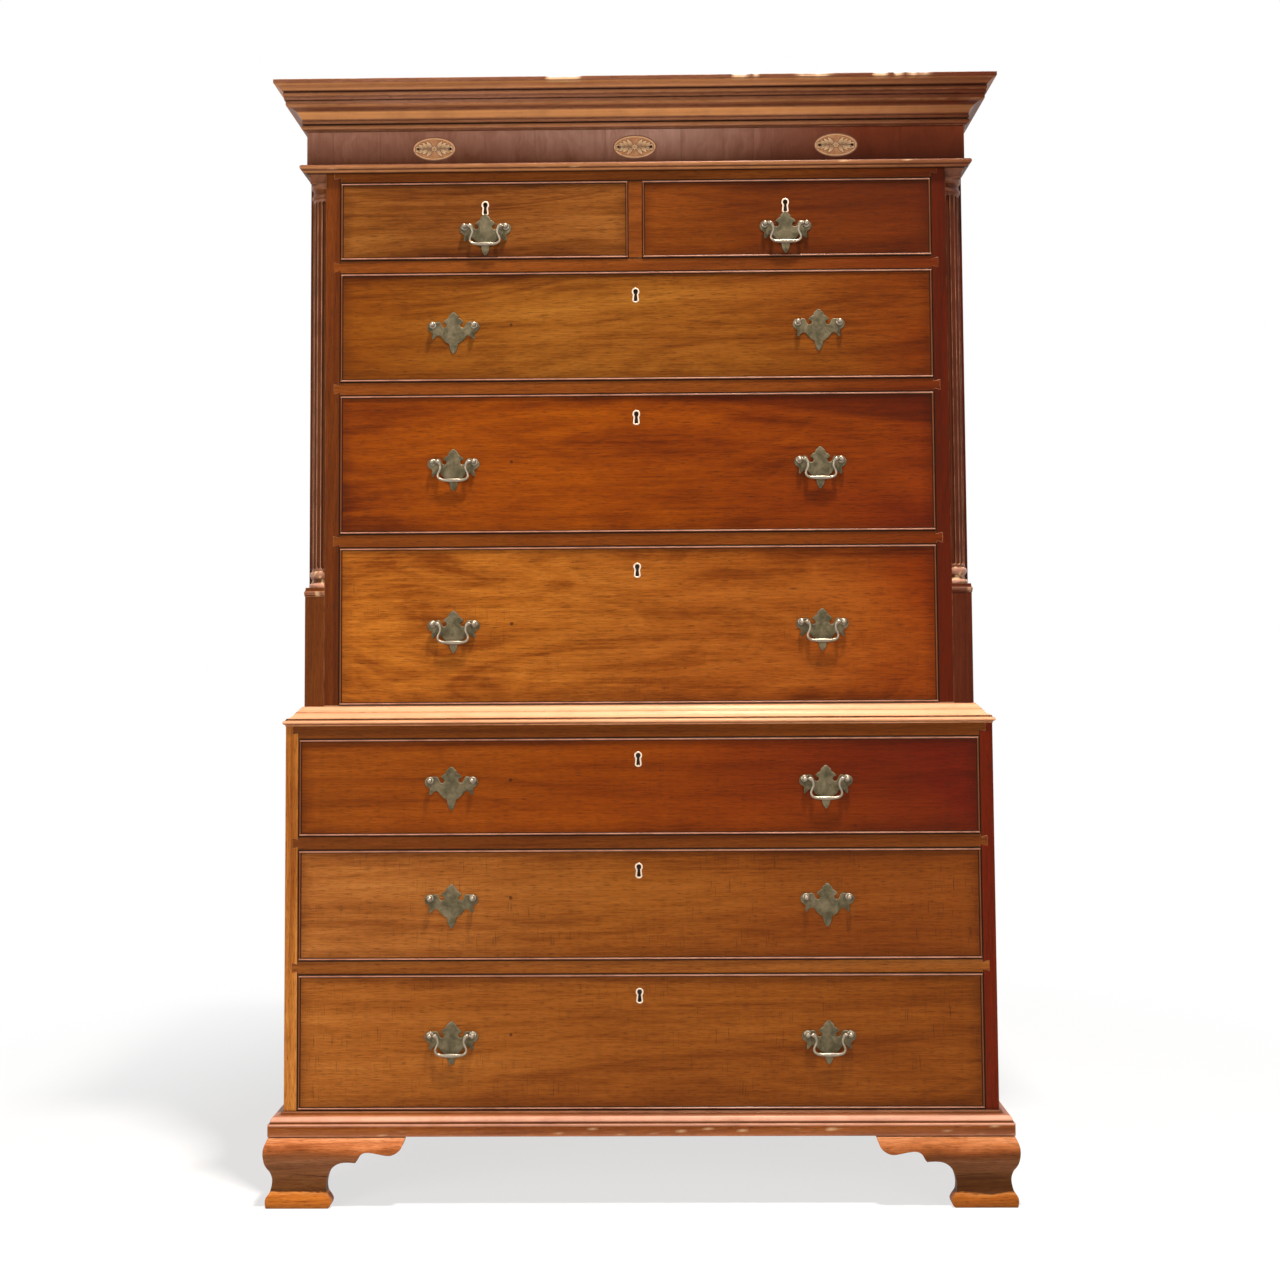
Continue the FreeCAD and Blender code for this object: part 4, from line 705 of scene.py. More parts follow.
turned = mahogany(
    "mahogany_columns",
    [(-0.53, (0.125, 0.030, 0.004)), (0.35, (0.12, 0.02, 0.003)), (0.53, (0.08, 0.012, 0.004))],
    "mesh", 21.0, sway=0.05, wild=0.05, grime_and_shade=0.95, wear=0.8, highlight_tone=ROSE_HIGHLIGHT)
moulded = mahogany("mahogany_mouldings", [(-0.55, MAUVE), (0.1, MAUVE), (0.55, WINE)], "mesh", 27.0,
                   sway=0.1, rings=190, wild=0.04, grime_and_shade=0.85, highlight_tone=MOULDING_HIGHLIGHT, fade=0.35)
# The waist moulding: a ground that is pale as a painted highlight, with painted highlights and painted shade
# along its profile.
waist_wood = mahogany("mahogany_waist", [(-0.55, WORN_AND_HIGHLIGHT), (0.55, WORN_AND_HIGHLIGHT)], "mesh", 33.0, rings=170, wild=0.04,
                      grime_and_shade=0.5, wear=0.3, highlight_tone=WAIST_HIGHLIGHT)
base_wood = mahogany("mahogany_base", [(-0.6, BROWN), (0.6, COCOA)], "mesh", 36.0, rings=170, wild=0.04,
                     wear=0.6, highlight_tone=ROSE_HIGHLIGHT)
# Tones of the feet by height in metres: the toe, the dark ankle and the pale bulge under the moulding; the
# pale pad of the toe and the pale bulge face up and are painted highlights.
FOOT_BANDS = [(0.0, (0.42, 0.13, 0.020)), (0.006, (0.48, 0.14, 0.016)), (0.018, (0.52, 0.155, 0.020)),
              (0.0215, (0.62, 0.22, 0.05)), (0.0235, (0.07, 0.020, 0.005)), (0.030, (0.15, 0.050, 0.010)),
              (0.050, (0.20, 0.075, 0.024)), (0.070, (0.24, 0.095, 0.040)), (0.080, (0.24, 0.075, 0.022)),
              (0.087, (0.42, 0.12, 0.030)), (0.096, (0.76, 0.27, 0.10)), (0.107, (0.90, 0.38, 0.18))]


def foot_wood(name, seed, strength):
    bands = [(place, tuple(channel*share for channel, share in zip(tone, strength)))
             for place, tone in FOOT_BANDS]
    return mahogany(name, bands, "x", seed, axis="z", sway=0.04, ragged=0.22, wild=0.08, grime_and_shade=0.5, wear=0.4,
                    gloss=0.42, foot=True, lines=("z", (FOOT_TOP,), 1.0))


left_foot = foot_wood("mahogany_left_feet", 39.0, (1.0, 1.0, 1.0))
right_foot = foot_wood("mahogany_right_feet", 45.0, (0.66, 0.60, 0.50))
oak_boards = oak("oak_boards", "mesh", 2.0)
oak_box = oak("oak_drawers", "y", 5.0, 1.25)
brass_plate = brass("brass_plates", 1.0, (0.50, 0.38, 0.24), (0.092, 0.074, 0.036), 0.42, 0.12)
brass_bright = brass("brass_bails", 0.7, (0.62, 0.52, 0.40), (0.135, 0.105, 0.065), 0.22, 0.8)
brass_pale = brass("brass_keyholes", 0.2, (0.90, 0.68, 0.50), (0.42, 0.30, 0.20), 0.34, 0.5)
brass_lock = brass("brass_locks", 0.9, (0.30, 0.22, 0.11), (0.07, 0.05, 0.025), 0.42, 0.6)
iron_and_hole_shade = iron("iron_bolts_and_keyhole_shade")


def paint(node, material):
    """A CAD node keeps its shape and takes a better finish."""
    data = frame["nodes"][node].data
    for index in range(len(data.materials)):
        data.materials[index] = material


def finish_case():
    paint("lower_rails", lower_rail)
    paint("upper_rails", upper_rail)
    paint("lower_sides", lower_upright)
    paint("upper_sides", upper_upright)
    paint("upper_boards", oak("oak_bottom", "x", 8.0))


# Tones of each drawer front, lighter and darker: left, middle and right.
DRAWER_TONES = {
    "short_left": ((0.225, 0.072, 0.010), (0.165, 0.046, 0.006), (0.225, 0.070, 0.010)),
    "short_right": ((0.180, 0.040, 0.003), (0.125, 0.023, 0.001), (0.090, 0.011, 0.001)),
    "upper_a": ((0.190, 0.046, 0.002), (0.270, 0.090, 0.009), (0.150, 0.024, 0.001)),
    "upper_b": ((0.218, 0.039, 0.001), (0.255, 0.050, 0.001), (0.125, 0.010, 0.001)),
    "upper_c": ((0.442, 0.134, 0.013), (0.346, 0.103, 0.011), (0.195, 0.026, 0.001)),
    "lower_a": ((0.238, 0.053, 0.003), (0.220, 0.039, 0.001), (0.110, 0.006, 0.001)),
    "lower_b": ((0.361, 0.118, 0.021), (0.261, 0.075, 0.008), (0.190, 0.044, 0.004)),
    "lower_c": ((0.340, 0.105, 0.014), (0.240, 0.065, 0.006), (0.205, 0.051, 0.004)),
}
# Middle of the tree behind each front, slope of the grain, density of the rings, liveliness.
DRAWER_FIGURE = {
    "short_left": ((0.10, 1.30), 0.05, 170, 0.12), "short_right": ((0.06, 1.40), -0.10, 130, 0.14),
    "upper_a": ((0.08, 1.20), 0.06, 150, 0.14), "upper_b": ((0.10, 1.05), 0.03, 130, 0.18),
    "upper_c": ((0.05, 0.90), 0.10, 120, 0.24), "lower_a": ((0.12, 0.50), 0.02, 190, 0.06),
    "lower_b": ((0.12, 0.30), 0.03, 180, 0.07), "lower_c": ((0.10, 0.10), 0.02, 180, 0.08),
}
HAIRS = {"lower_a": 0.35, "lower_b": 0.6, "lower_c": 0.6, "upper_c": 0.35}
OLD_HOLE_IN = 92*MM


def finish_drawers():
    for count, (name, drawer) in enumerate(drawers.items()):
        heart, slope, rings, wild = DRAWER_FIGURE[name]
        left, middle, right = DRAWER_TONES[name]
        centre = drawer.left*0.45 + drawer.right*0.55 - 0.10
        old_hole = None
        if drawer.kind != "short":
            old_hole = (drawer.handles[0] + OLD_HOLE_IN, drawer.line, 3.2*MM)
        shadow = None
        if name == "upper_b":
            shadow = ((0.02, drawer.top - 8*MM), (drawer.right, drawer.top - 55*MM), 0.8)
        material = mahogany(
            "mahogany_" + name, [(drawer.left, left), (centre, middle), (drawer.right, right)], "x",
            50 + count*5.0, heart=heart, slope=slope, rings=rings, wild=wild, sway=0.3, grime_and_shade=0.85,
            hairs=HAIRS.get(name, 0.0), contrast=1.0 if drawer.kind == "lower" else 1.5, drawer=drawer,
            old_hole=old_hole, shadow=shadow)
        paint("drawer_%s_front" % name, material)
        paint("drawer_%s_box" % name, oak_box)
        paint("drawer_%s_bolt" % name, iron_and_hole_shade)


# ---- brass ----

# Right half of a handle plate in millimetres, from the apex round to the tip; bulges are arcs.
PLATE_HALF = [
    (0, 20.8), (4.0, 18.2, -0.35), (8.3, 13.2, -0.2), (8.4, 11.4), (15.4, 6.2, -0.15), (14.2, 3.4, -0.6),
    (11.2, 1.2, 0.2), (18.0, -1.4, 1.05), (20.2, 3.2), (25.0, 5.9, -0.35), (29.4, 5.2), (38.6, -9.3, -0.83),
    (33.4, -13.4, 0.2), (34.3, -20.4, -0.1), (31.2, -22.0, -0.7), (26.2, -17.0, 0.1), (19.8, -18.4, 0.35),
    (15.9, -23.6, -0.1), (7.0, -30.0, -0.12), (6.4, -33.6), (5.4, -38.6, -0.1), (0, -46.4, -0.18),
]
# How far an outline is moved in and how far it stands proud, millimetres.
PLATE_LAYERS = [(0.0, 0.0), (0.0, 0.8), (1.1, 1.5)]
FRONT_THICK = 20*MM
POST_GAP = 66*MM
# The ball of a post: how far its middle stands out, and its radius, millimetres.
KNOB_OUT, KNOB_RADIUS = 8, 4.4
POST_NECK = [(5.4, -1.5), (5.4, -2.0), (4.6, -2.7), (3.0, -3.1), (2.6, -3.8), (2.9, -4.3)]


def inset(points, distance):
    """The outline moved inwards; the outline runs clockwise seen from the front."""
    if not distance:
        return points
    moved = []
    count = len(points)
    for index, point in enumerate(points):
        before = (point - points[index - 1]).normalized()
        after = (points[(index + 1) % count] - point).normalized()
        normal = Vector((before.y + after.y, -before.x - after.x))
        if normal.length < 1e-6:
            normal = Vector((before.y, -before.x))
        normal.normalize()
        lean = max(normal.dot(Vector((before.y, -before.x))), 0.6)
        moved.append(point + normal*distance/lean)
    return moved


def stacked(outline, x, face, z, layers):
    """Copies of an outline, moved in and standing proud of the face as the layers say."""
    return [[Vector((x + point.x*MM, face - proud*MM, z + point.y*MM)) for point in inset(outline, trim)]
            for trim, proud in layers]


def handle_post(mesh, x, face, z):
    """A turned ball on a collared neck; behind the front a shank with a square nut."""
    ball = []
    for step in range(9):
        angle = math.radians(-62 + step*19)
        ball.append((KNOB_RADIUS*math.cos(angle), -KNOB_OUT - KNOB_RADIUS*math.sin(angle)))
    spot = Vector((x, face, z))
    thick = FRONT_THICK/MM
    lathe(mesh, POST_NECK + ball + [(0.0, -KNOB_OUT - KNOB_RADIUS)], spot)
    lathe(mesh, [(2.2, -1.4), (2.2, thick + 3.6), (1.6, thick + 4)], spot, 16)
    plank(mesh, spot + Vector((-6, thick + 0.1, -6))*MM, spot + Vector((6, thick + 4, 6))*MM, bevel=0.7*MM)


# Bail from the right-hand pin to the middle: x, z and radius in millimetres.
BAIL_HALF = [
    (31.6, 0.0, 1.25), (27.9, 0.0, 1.3), (27.4, 0.0, 2.4), (25.6, 0.2, 3.3), (23.4, -0.2, 3.3),
    (21.6, -2.6, 2.7), (20.3, -6.2, 2.1), (20.0, -10.4, 1.75), (21.4, -14.4, 1.7), (23.3, -18.4, 1.75),
    (23.9, -22.2, 1.85), (22.4, -25.8, 2.0), (18.6, -28.3, 2.2), (13.0, -29.3, 2.5), (6.5, -29.5, 3.1),
    (0.0, -29.5, 3.35),
]


def bail(name, drawer, x):
    """A cast bail hanging from its two pins, thickest in the middle of the grip."""
    mesh = bmesh.new()
    path = smooth_path(BAIL_HALF + [(-px, pz, radius) for px, pz, radius in BAIL_HALF[-2::-1]], 4)
    loops = []
    turns = [2*math.pi*turn/16 for turn in range(16)]
    side = Vector((0, 1, 0))
    spot = Vector((x, drawer.face - KNOB_OUT*MM, drawer.line))
    for index, (px, pz, radius) in enumerate(path):
        before, after = path[max(index - 1, 0)], path[min(index + 1, len(path) - 1)]
        up = Vector((after[0] - before[0], 0, after[1] - before[1])).normalized().cross(side)
        loops.append([spot + (Vector((px, 0, pz)) + (side*math.cos(turn) + up*math.sin(turn))*radius)*MM
                      for turn in turns])
    loft(mesh, loops)
    make(name + "_cast", name, brass_bright, mesh, 40, name)


# Keyhole in millimetres from its middle, right half from the top round to the foot.
KEY_HALF = [(0, 9.6), (3.6, 6.0, -0.42), (2.1, 2.0, -0.2), (2.0, 0.6), (2.9, -8.2), (0, -9.6, -0.3)]
# The lining from deep in the front to the rolled lip, moved out and proud, millimetres.
KEY_LAYERS = [(0, -10.5), (0, -0.3), (-0.2, 0.15), (-0.6, 0.3), (-1.9, 0.3), (-2.3, 0.1),
              (-2.4, -0.1)]


def keyhole_rim(mesh, drawer):
    """A thin brass escutcheon with rounded lips around a hole lined with dark iron as painted shade."""
    rings = loft(mesh, stacked(mirrored(KEY_HALF, 14), drawer.key_x, drawer.face, drawer.key_z, KEY_LAYERS),
                 caps=False)
    mesh.faces.new(rings[0])
    # The deep lining and the bottom of the hole take dark iron, which stands in for the shade inside the
    # hole.
    deep = {vert for ring in rings[:2] for vert in ring}
    for face in mesh.faces:
        face.material_index = int(deep.issuperset(face.verts))


LOCK_HALF, LOCK_THICK, LOCK_BELOW = 30*MM, 9*MM, 14*MM
CASE_HALF, CASE_RISE = 21.6*MM, 3*MM
BOLT_WIDE, BOLT_THICK, BOLT_ROOM = 16*MM, 5*MM, 0.2*MM
SCREW_OUT = 25.8*MM


def lock(mesh, drawer):
    """A drawer lock: back plate, case with the slot of the bolt, and four screws."""
    x, foot, head = drawer.key_x, drawer.key_z - LOCK_BELOW, drawer.top
    outer = drawer.face + FRONT_THICK
    inner = outer - LOCK_THICK
    slot_half = BOLT_WIDE/2 + BOLT_ROOM
    slot_y = outer - LOCK_THICK/2
    slot = BOLT_THICK/2 + BOLT_ROOM
    rise = foot + CASE_RISE
    boards = [
        ((x - LOCK_HALF, slot_y + slot, foot), (x + LOCK_HALF, outer, head)),
        ((x - CASE_HALF, inner, rise), (x - slot_half, slot_y + slot, head)),
        ((x + slot_half, inner, rise), (x + CASE_HALF, slot_y + slot, head)),
        ((x - slot_half, slot_y - slot + BOLT_ROOM, rise), (x + slot_half, slot_y + slot, head - 22*MM)),
    ]
    for corner, other in boards:
        if other[2] - corner[2] > 2*MM:
            plank(mesh, corner, other, bevel=0.5*MM)
    for side in (-1, 1):
        for height in (foot + 6*MM, head - 7*MM):
            spot = Vector((x + side*SCREW_OUT, outer, height))
            lathe(mesh, [(2.4, -0.6), (2.4, 0.1), (1.4, 0.45), (0.0, 0.5)], spot, 16)


def fit_brass():
    plate = mirrored(PLATE_HALF, 15)
    for name, drawer in drawers.items():
        plates, posts, rim, case = bmesh.new(), bmesh.new(), bmesh.new(), bmesh.new()
        for x in drawer.handles:
            loft(plates, stacked(plate, x, drawer.face, drawer.line, PLATE_LAYERS))
            for side in (-1, 1):
                handle_post(posts, x + side*POST_GAP/2, drawer.face, drawer.line)
        keyhole_rim(rim, drawer)
        lock(case, drawer)
        for label, material, mesh, smooth, others in (
                ("plates_", brass_plate, plates, 25, ()), ("posts_", brass_bright, posts, 40, ()),
                ("keyhole_", brass_pale, rim, 35, (iron_and_hole_shade,)), ("lock_", brass_lock, case, 35, ())):
            make(label + name, "drawer_%s_brass" % name, material, mesh, smooth, drawer.body, others)
        for index, x in enumerate(drawer.handles):
            label = "bail_%s_%d" % (name, index)
            if label in frame["nodes"]:
                bail(label, drawer, x)


# ---- mouldings ----

# Profiles: out from the face of the case and height, millimetres; bulges are arcs.
CORNICE = [
    (0, 0), (3.6, 0.6), (3.6, 1.6), (4.6, 2.0), (4.6, 9.4, 1.0), (4.6, 10.8), (7.2, 11.0), (7.2, 15.4),
    (6.6, 16.4), (26.3, 33.4, -0.36), (26.3, 34.8), (28.3, 34.8), (28.3, 41.6), (27.4, 42.0), (30.3, 42.4),
    (30.3, 49.0), (31.6, 49.2), (31.6, 54.0), (30.4, 55.4), (31.6, 56.2), (35.6, 59.6, 0.25),
    (43.2, 63.9, -0.2), (44.5, 65.4), (44.5, 71.0), (39.5, 71.0), (0, 71.0),
]
NECKING = [(0, -14), (4.6, -14), (4.6, -11.2), (6.6, -9.8), (10.0, -5.3, 0.35), (7.0, -1.1, 0.35), (0, 0)]
WAIST = [
    (-23.3, 0), (0, 0), (0, -11), (0.9, -11), (0.9, -8.6), (2.0, -8.2), (1.6, -2.2, 0.9), (0.2, -1.4),
    (-0.4, 0.2), (-1.2, 1.4), (-5.6, 2.6), (-11.6, 9.2, -0.12), (-12.6, 9.8), (-12.8, 10.8),
    (-18.6, 17.1, -0.12), (-20.5, 17.5), (-20.5, 19.0), (-23.3, 19.0),
]
BASE = [
    (0, 0), (20, 0), (20, 15.9), (19, 18.8, 0.5), (17.2, 19.0), (16.6, 19.8), (16.6, 22.8), (12, 29.1, 0.28),
    (4, 30.2, -0.15), (3, 31.1), (3, 33.6), (0, 33.6),
]
# How much painted highlight (above 0) and painted shade (below 0) a profile has, as (height in millimetres,
# tone) from -1 to 1.
CORNICE_TONES = [
    (0, -0.4), (1.0, -0.2), (1.6, -0.6), (3.2, 0.30), (8.4, 0.25), (9.6, -0.7), (11.0, -1), (11.6, 0.0),
    (15.0, 0.25), (16.2, -0.6), (17.2, -0.35), (18.2, 0.1), (19.6, 0.75), (26.0, 0.85), (27.6, 1.0),
    (28.6, 0.6), (29.6, -0.15), (32.2, -0.35), (33.0, 0.2), (34.0, 0.55), (36.5, 0.15), (41.0, 0.0),
    (42.0, -0.95), (42.8, -0.2), (44.0, 0.25), (46.0, -0.2), (48.4, -0.25), (49.2, 0.35), (51.5, 0.30),
    (53.2, -0.2), (54.2, -1), (56.0, -1), (57.0, 0.40), (58.6, 0.60), (60.5, 0.25), (62.6, 0.35),
    (63.8, 0.75), (64.8, 0.1), (65.6, -0.3), (69.5, -0.2), (71.0, 0.1),
]
NECKING_TONES = [
    (-14, -0.9), (-13.4, 0.1), (-12.8, 0.5), (-10.6, 0.6), (-10.0, -0.4), (-9.2, -0.7), (-8.2, 0.35),
    (-6.4, 0.6), (-4.6, 0.25), (-2.5, 0.0), (-1.0, -0.4), (0, -0.7),
]
WAIST_TONES = [
    (-11, -0.6), (-10.2, -0.1), (-9.4, 0.2), (-8.5, -0.8), (-7.2, -0.45), (-6.2, 0.5), (-5.4, 1), (-3.2, 1),
    (-2.4, 0.1), (-1.6, -0.65), (-0.2, -0.5), (0.8, 0.4), (1.8, 0.8), (4, 1), (7.6, 1), (8.8, 0.75),
    (9.6, -0.05), (10.2, 0.1), (11.2, 0.8), (12.8, 0.6), (13.6, 0.75), (15, 0.95), (17.6, 1), (19, 0.8),
]
BASE_TONES = [
    (0, 0.1), (1.0, 0.3), (3.0, 0.1), (14.0, 0.0), (15.4, 0.25), (16.6, 0.75), (18.4, 0.75), (19.0, -0.7),
    (19.8, -0.9), (20.6, 0.0), (22.0, 0.8), (23.0, 1), (26.6, 1), (28.2, 0.65), (29.2, 0.1), (30.0, -0.6),
    (30.8, -0.7), (31.4, 0.3), (32.4, 0.55), (33.2, 0.1), (33.6, -0.6),
]
FLAT_STEP = 1.0
DENT = 0.2*MM
NO_KNOCK = (0.0, 0.0, 0.0)


def tone_at(tones, height):
    """The tone at a height, straight between the given ones."""
    for (low_at, before), (high_at, after) in zip(tones, tones[1:]):
        if height <= high_at:
            return before + (after - before)*max(0.0, (height - low_at)/(high_at - low_at))
    return tones[-1][1]


def finer(points):
    """Points added along the flats of a profile, so that tones can change on them."""
    dense = [points[0]]
    for before, after in zip(points, points[1:]):
        shows = after.x > 0.5 or before.x < -0.5
        steps = max(1, math.ceil(abs(after.y - before.y)/FLAT_STEP)) if shows else 1
        dense += [before + (after - before)*step/steps for step in range(1, steps + 1)]
    return dense


def length_of(profile, tones, number, start, finish, place, stations, grain):
    """One length of moulding. place(share, out, height) gives the point and how chipped it is."""
    mesh = bmesh.new()
    bare, pale, dark = [number_layer(mesh, name) for name in ("bare", "pale", "dark")]
    points = finer(arcs(profile, 15))
    if (points[0] - points[-1]).length < 1e-6:
        points.pop()
    marks = [tone_at(tones, point.y) for point in points]
    loops, chips = [], []
    for station in range(stations + 1):
        share = start + (finish - start)*station/stations
        placed = [place(share, point.x*MM, point.y*MM) for point in points]
        loops.append([spot for spot, chip in placed])
        chips += [chip for spot, chip in placed]
    rings = loft(mesh, loops)
    for index, vert in enumerate(vert for ring in rings for vert in ring):
        mark = marks[index % len(marks)]
        vert[bare] = chips[index]
        # pale marks the painted highlights of the profile and dark its painted shade.
        vert[pale] = max(0.0, mark)
        vert[dark] = max(0.0, -mark)
    mark_wood(mesh, number, grain)
    return mesh


def moulding(name, node, profile, tones, front, side, base_z, material, chip, number, fine):
    """A front length and two returns that meet in mitres."""

    def soft(along, out, height, turn):
        """Slight unevenness from planing and polishing by hand."""
        if out <= 0.5*MM:
            return 0.0
        return noise.noise(Vector((along*23, out*60 + turn, height*60)))*DENT

    def on_front(share, out, height):
        x = share*(side + out)
        back, drop, mark = chip(x, out, height, "front")
        return Vector((x, front - out + back + soft(x, out, height, 0), base_z + height - drop)), mark

    mesh = length_of(profile, tones, number, -1, 1, on_front, int(2*side/fine), "x")
    make(name + "_front", node, material, mesh, 28)
    for sign, label in ((1, "right"), (-1, "left")):

        def on_side(share, out, height):
            y = (front - out)*(1 - share) + BACK*share
            back, drop, mark = chip(y, out, height, label)
            sway = abs(soft(y, out, height, sign*9))
            return Vector((sign*(side + out - back - sway), y, base_z + height - drop)), mark

        mesh = length_of(profile, tones, number + 1 + sign, 0, 1, on_side, int((BACK - front)/fine), "y")
        make("%s_%s" % (name, label), node, material, mesh, 28)


def lip_chips(along, out, height, where):
    """Knocks along the thin top lip of the cornice, worst towards the right: back, drop, bareness."""
    if out < 40*MM or height < 60*MM:
        return NO_KNOCK
    seed = {"front": 0, "right": 31, "left": 57}[where]
    broad = noise.noise(Vector((along*11 + seed, 2.3, 0)))
    sharp = noise.noise(Vector((along*95 + seed, 5.1, 0)))
    bias = {"front": 0.14 if along > 0.15 else -0.6, "right": 0.2, "left": -0.2}[where]
    amount = max(0.0, min(1.0, (broad + bias - 0.22)*5))*max(0.0, 0.35 + sharp*1.6)
    if where == "front" and abs(along + 0.11) < 0.028:
        amount = max(amount, 0.75 + sharp*0.5)
    upper = 1.0 if height > 68*MM else 0.25
    ragged = 0.25*MM*abs(noise.noise(Vector((along*160 + seed, 8.8, 0))))
    return amount*2.2*MM*upper + ragged, (amount*1.6*MM + ragged)*upper, min(1.0, amount*1.6)*upper


def small_chips(reach):
    """Small knocks on the outermost edges of a moulding."""
    def chip(along, out, height, where):
        if out < reach:
            return NO_KNOCK
        seed = {"front": 3, "right": 37, "left": 71}[where]
        broad = noise.noise(Vector((along*60 + seed, height*160, 1.7)))
        amount = max(0.0, min(1.0, (broad - 0.50)*5))
        return amount*0.9*MM, 0.0, amount*0.7
    return chip


def add_mouldings():
    upper, lower = (UP_FRONT, UP_HALF), (FRONT, HALF)
    moulding("cornice_length", "cornice", CORNICE, CORNICE_TONES, *upper, FRIEZE_TOP, moulded, lip_chips,
             1, 6*MM)
    moulding("waist_length", "waist_moulding", WAIST, WAIST_TONES, *lower, LOW_TOP, waist_wood,
             small_chips(3.5*MM), 5, 10*MM)
    moulding("base_length", "base_moulding", BASE, BASE_TONES, *lower, FOOT_TOP, base_wood,
             small_chips(18*MM), 9, 10*MM)
    moulding("necking_length", "frieze", NECKING, NECKING_TONES, *upper, UP_TOP, moulded,
             small_chips(8*MM), 13, 10*MM)


# ---- feet ----

FOOT_REACH, FOOT_SPAN, BRACKET_THICK = 26.0, 216.0, 16*MM
# How far a facing stands out at each height, millimetres.
FOOT_OUT = [(0, 21.0), (1, 21.8), (7, 22.7), (12.5, 22.6), (15.6, 21.9), (18, 20.4), (20.6, 18.4), (23, 16.8),
            (26, 15.7), (33, 14.2), (38, 13.7), (42.5, 13.8), (48, 14.9), (54, 17.0), (59, 20.1), (64, 22.6),
            (69, 24.2), (76, 25.4), (82, 25.9), (89, 25.6), (95, 24.0), (100, 22.0), (104, 20.0), (107, 18.4)]
# Scrolled inner edge: distance from the outer tip, height, and the height on the outer corner it belongs to.
FOOT_ANKLE = [
    (98.8, 0, 0), (102.3, 3, 3), (104, 7, 7), (104, 11, 11), (101.4, 16, 16), (97.9, 20.6, 20.6),
    (96.1, 24.6, 24.6), (95.3, 33.5, 33.5), (96.6, 42.5, 42.5), (99.7, 51.5, 51.5), (104.4, 59, 59),
    (110.7, 65, 64.6), (118.6, 68.6, 67.6), (126.5, 69.6, 69), (134.4, 69.5, 70.5), (141.3, 68.9, 72)]
FOOT_LOBE = [
    (141.3, 68.9, 72), (144.3, 72.5, 75.5), (147.2, 78, 79.5), (150.2, 81.6, 82), (154.6, 84, 84.2),
    (161, 84.8, 86), (168.9, 84.1, 87.4), (181.5, 81.4, 89), (190.7, 80, 90.4), (197.6, 80.8, 91.8),
    (205, 84.4, 94), (210.9, 90, 97), (214.3, 98, 101.5), (217.3, 107, 107)]
FOOT_STEPS = 36


def foot_facing(mesh, place, mitred):
    """An ogee facing with a scrolled edge. place(along, out, height) gives the point."""
    edge = smooth_path(FOOT_ANKLE, 3)[:-1] + smooth_path(FOOT_LOBE, 3)
    loops = []
    for end, low_at, high_at in edge:
        outer, inner = [], []
        for step in range(FOOT_STEPS + 1):
            share = 1 - (1 - step/FOOT_STEPS)**1.5
            height = high_at + (low_at - high_at)*share**6
            out = tone_at(FOOT_OUT, height)
            start = FOOT_REACH - out if mitred else 0.0
            outer.append(place(start + (end - start)*share, out, height))
            start = FOOT_REACH if mitred else 0.0
            inner.append(place(start + (end - start)*share, 0.0, height))
        loops.append(outer + inner[::-1])
    loft(mesh, loops)


def add_feet():
    tip_x, tip_y = HALF + FOOT_REACH*MM, FRONT - FOOT_REACH*MM
    bracket = arcs([(0, 0), (0, FOOT_TOP/MM), (FOOT_SPAN*0.8, FOOT_TOP/MM), (FOOT_SPAN*0.36, 0, -0.3)], 10)
    for sign, label, material in ((-1, "left", left_foot), (1, "right", right_foot)):

        def on_front(along, out, height):
            return Vector((sign*(tip_x - along*MM), FRONT - out*MM, height*MM))

        def on_side(along, out, height):
            return Vector((sign*(HALF + out*MM), tip_y + along*MM, height*MM))

        def behind(along, out, height):
            return Vector((sign*(HALF + out*MM), BACK - along*MM, height*MM))

        front, rear = bmesh.new(), bmesh.new()
        foot_facing(front, on_front, True)
        foot_facing(front, on_side, True)
        foot_facing(rear, behind, False)
        loft(rear, [[Vector((sign*(HALF - point.x*MM), y, point.y*MM)) for point in bracket]
                    for y in (BACK - BRACKET_THICK, BACK)])
        make("front_foot_" + label, "front_feet", material, front, 32)
        make("rear_foot_" + label, "rear_feet", material, rear, 32)


# ---- frieze ----

LEAF_JOINTS = [-485, -409, -160, -46, 74, 191, 305, 424.5]
LEAF_GAP = 0.3*MM
VENEER_THICK = 1.2*MM
FRIEZE_THICK = 20*MM


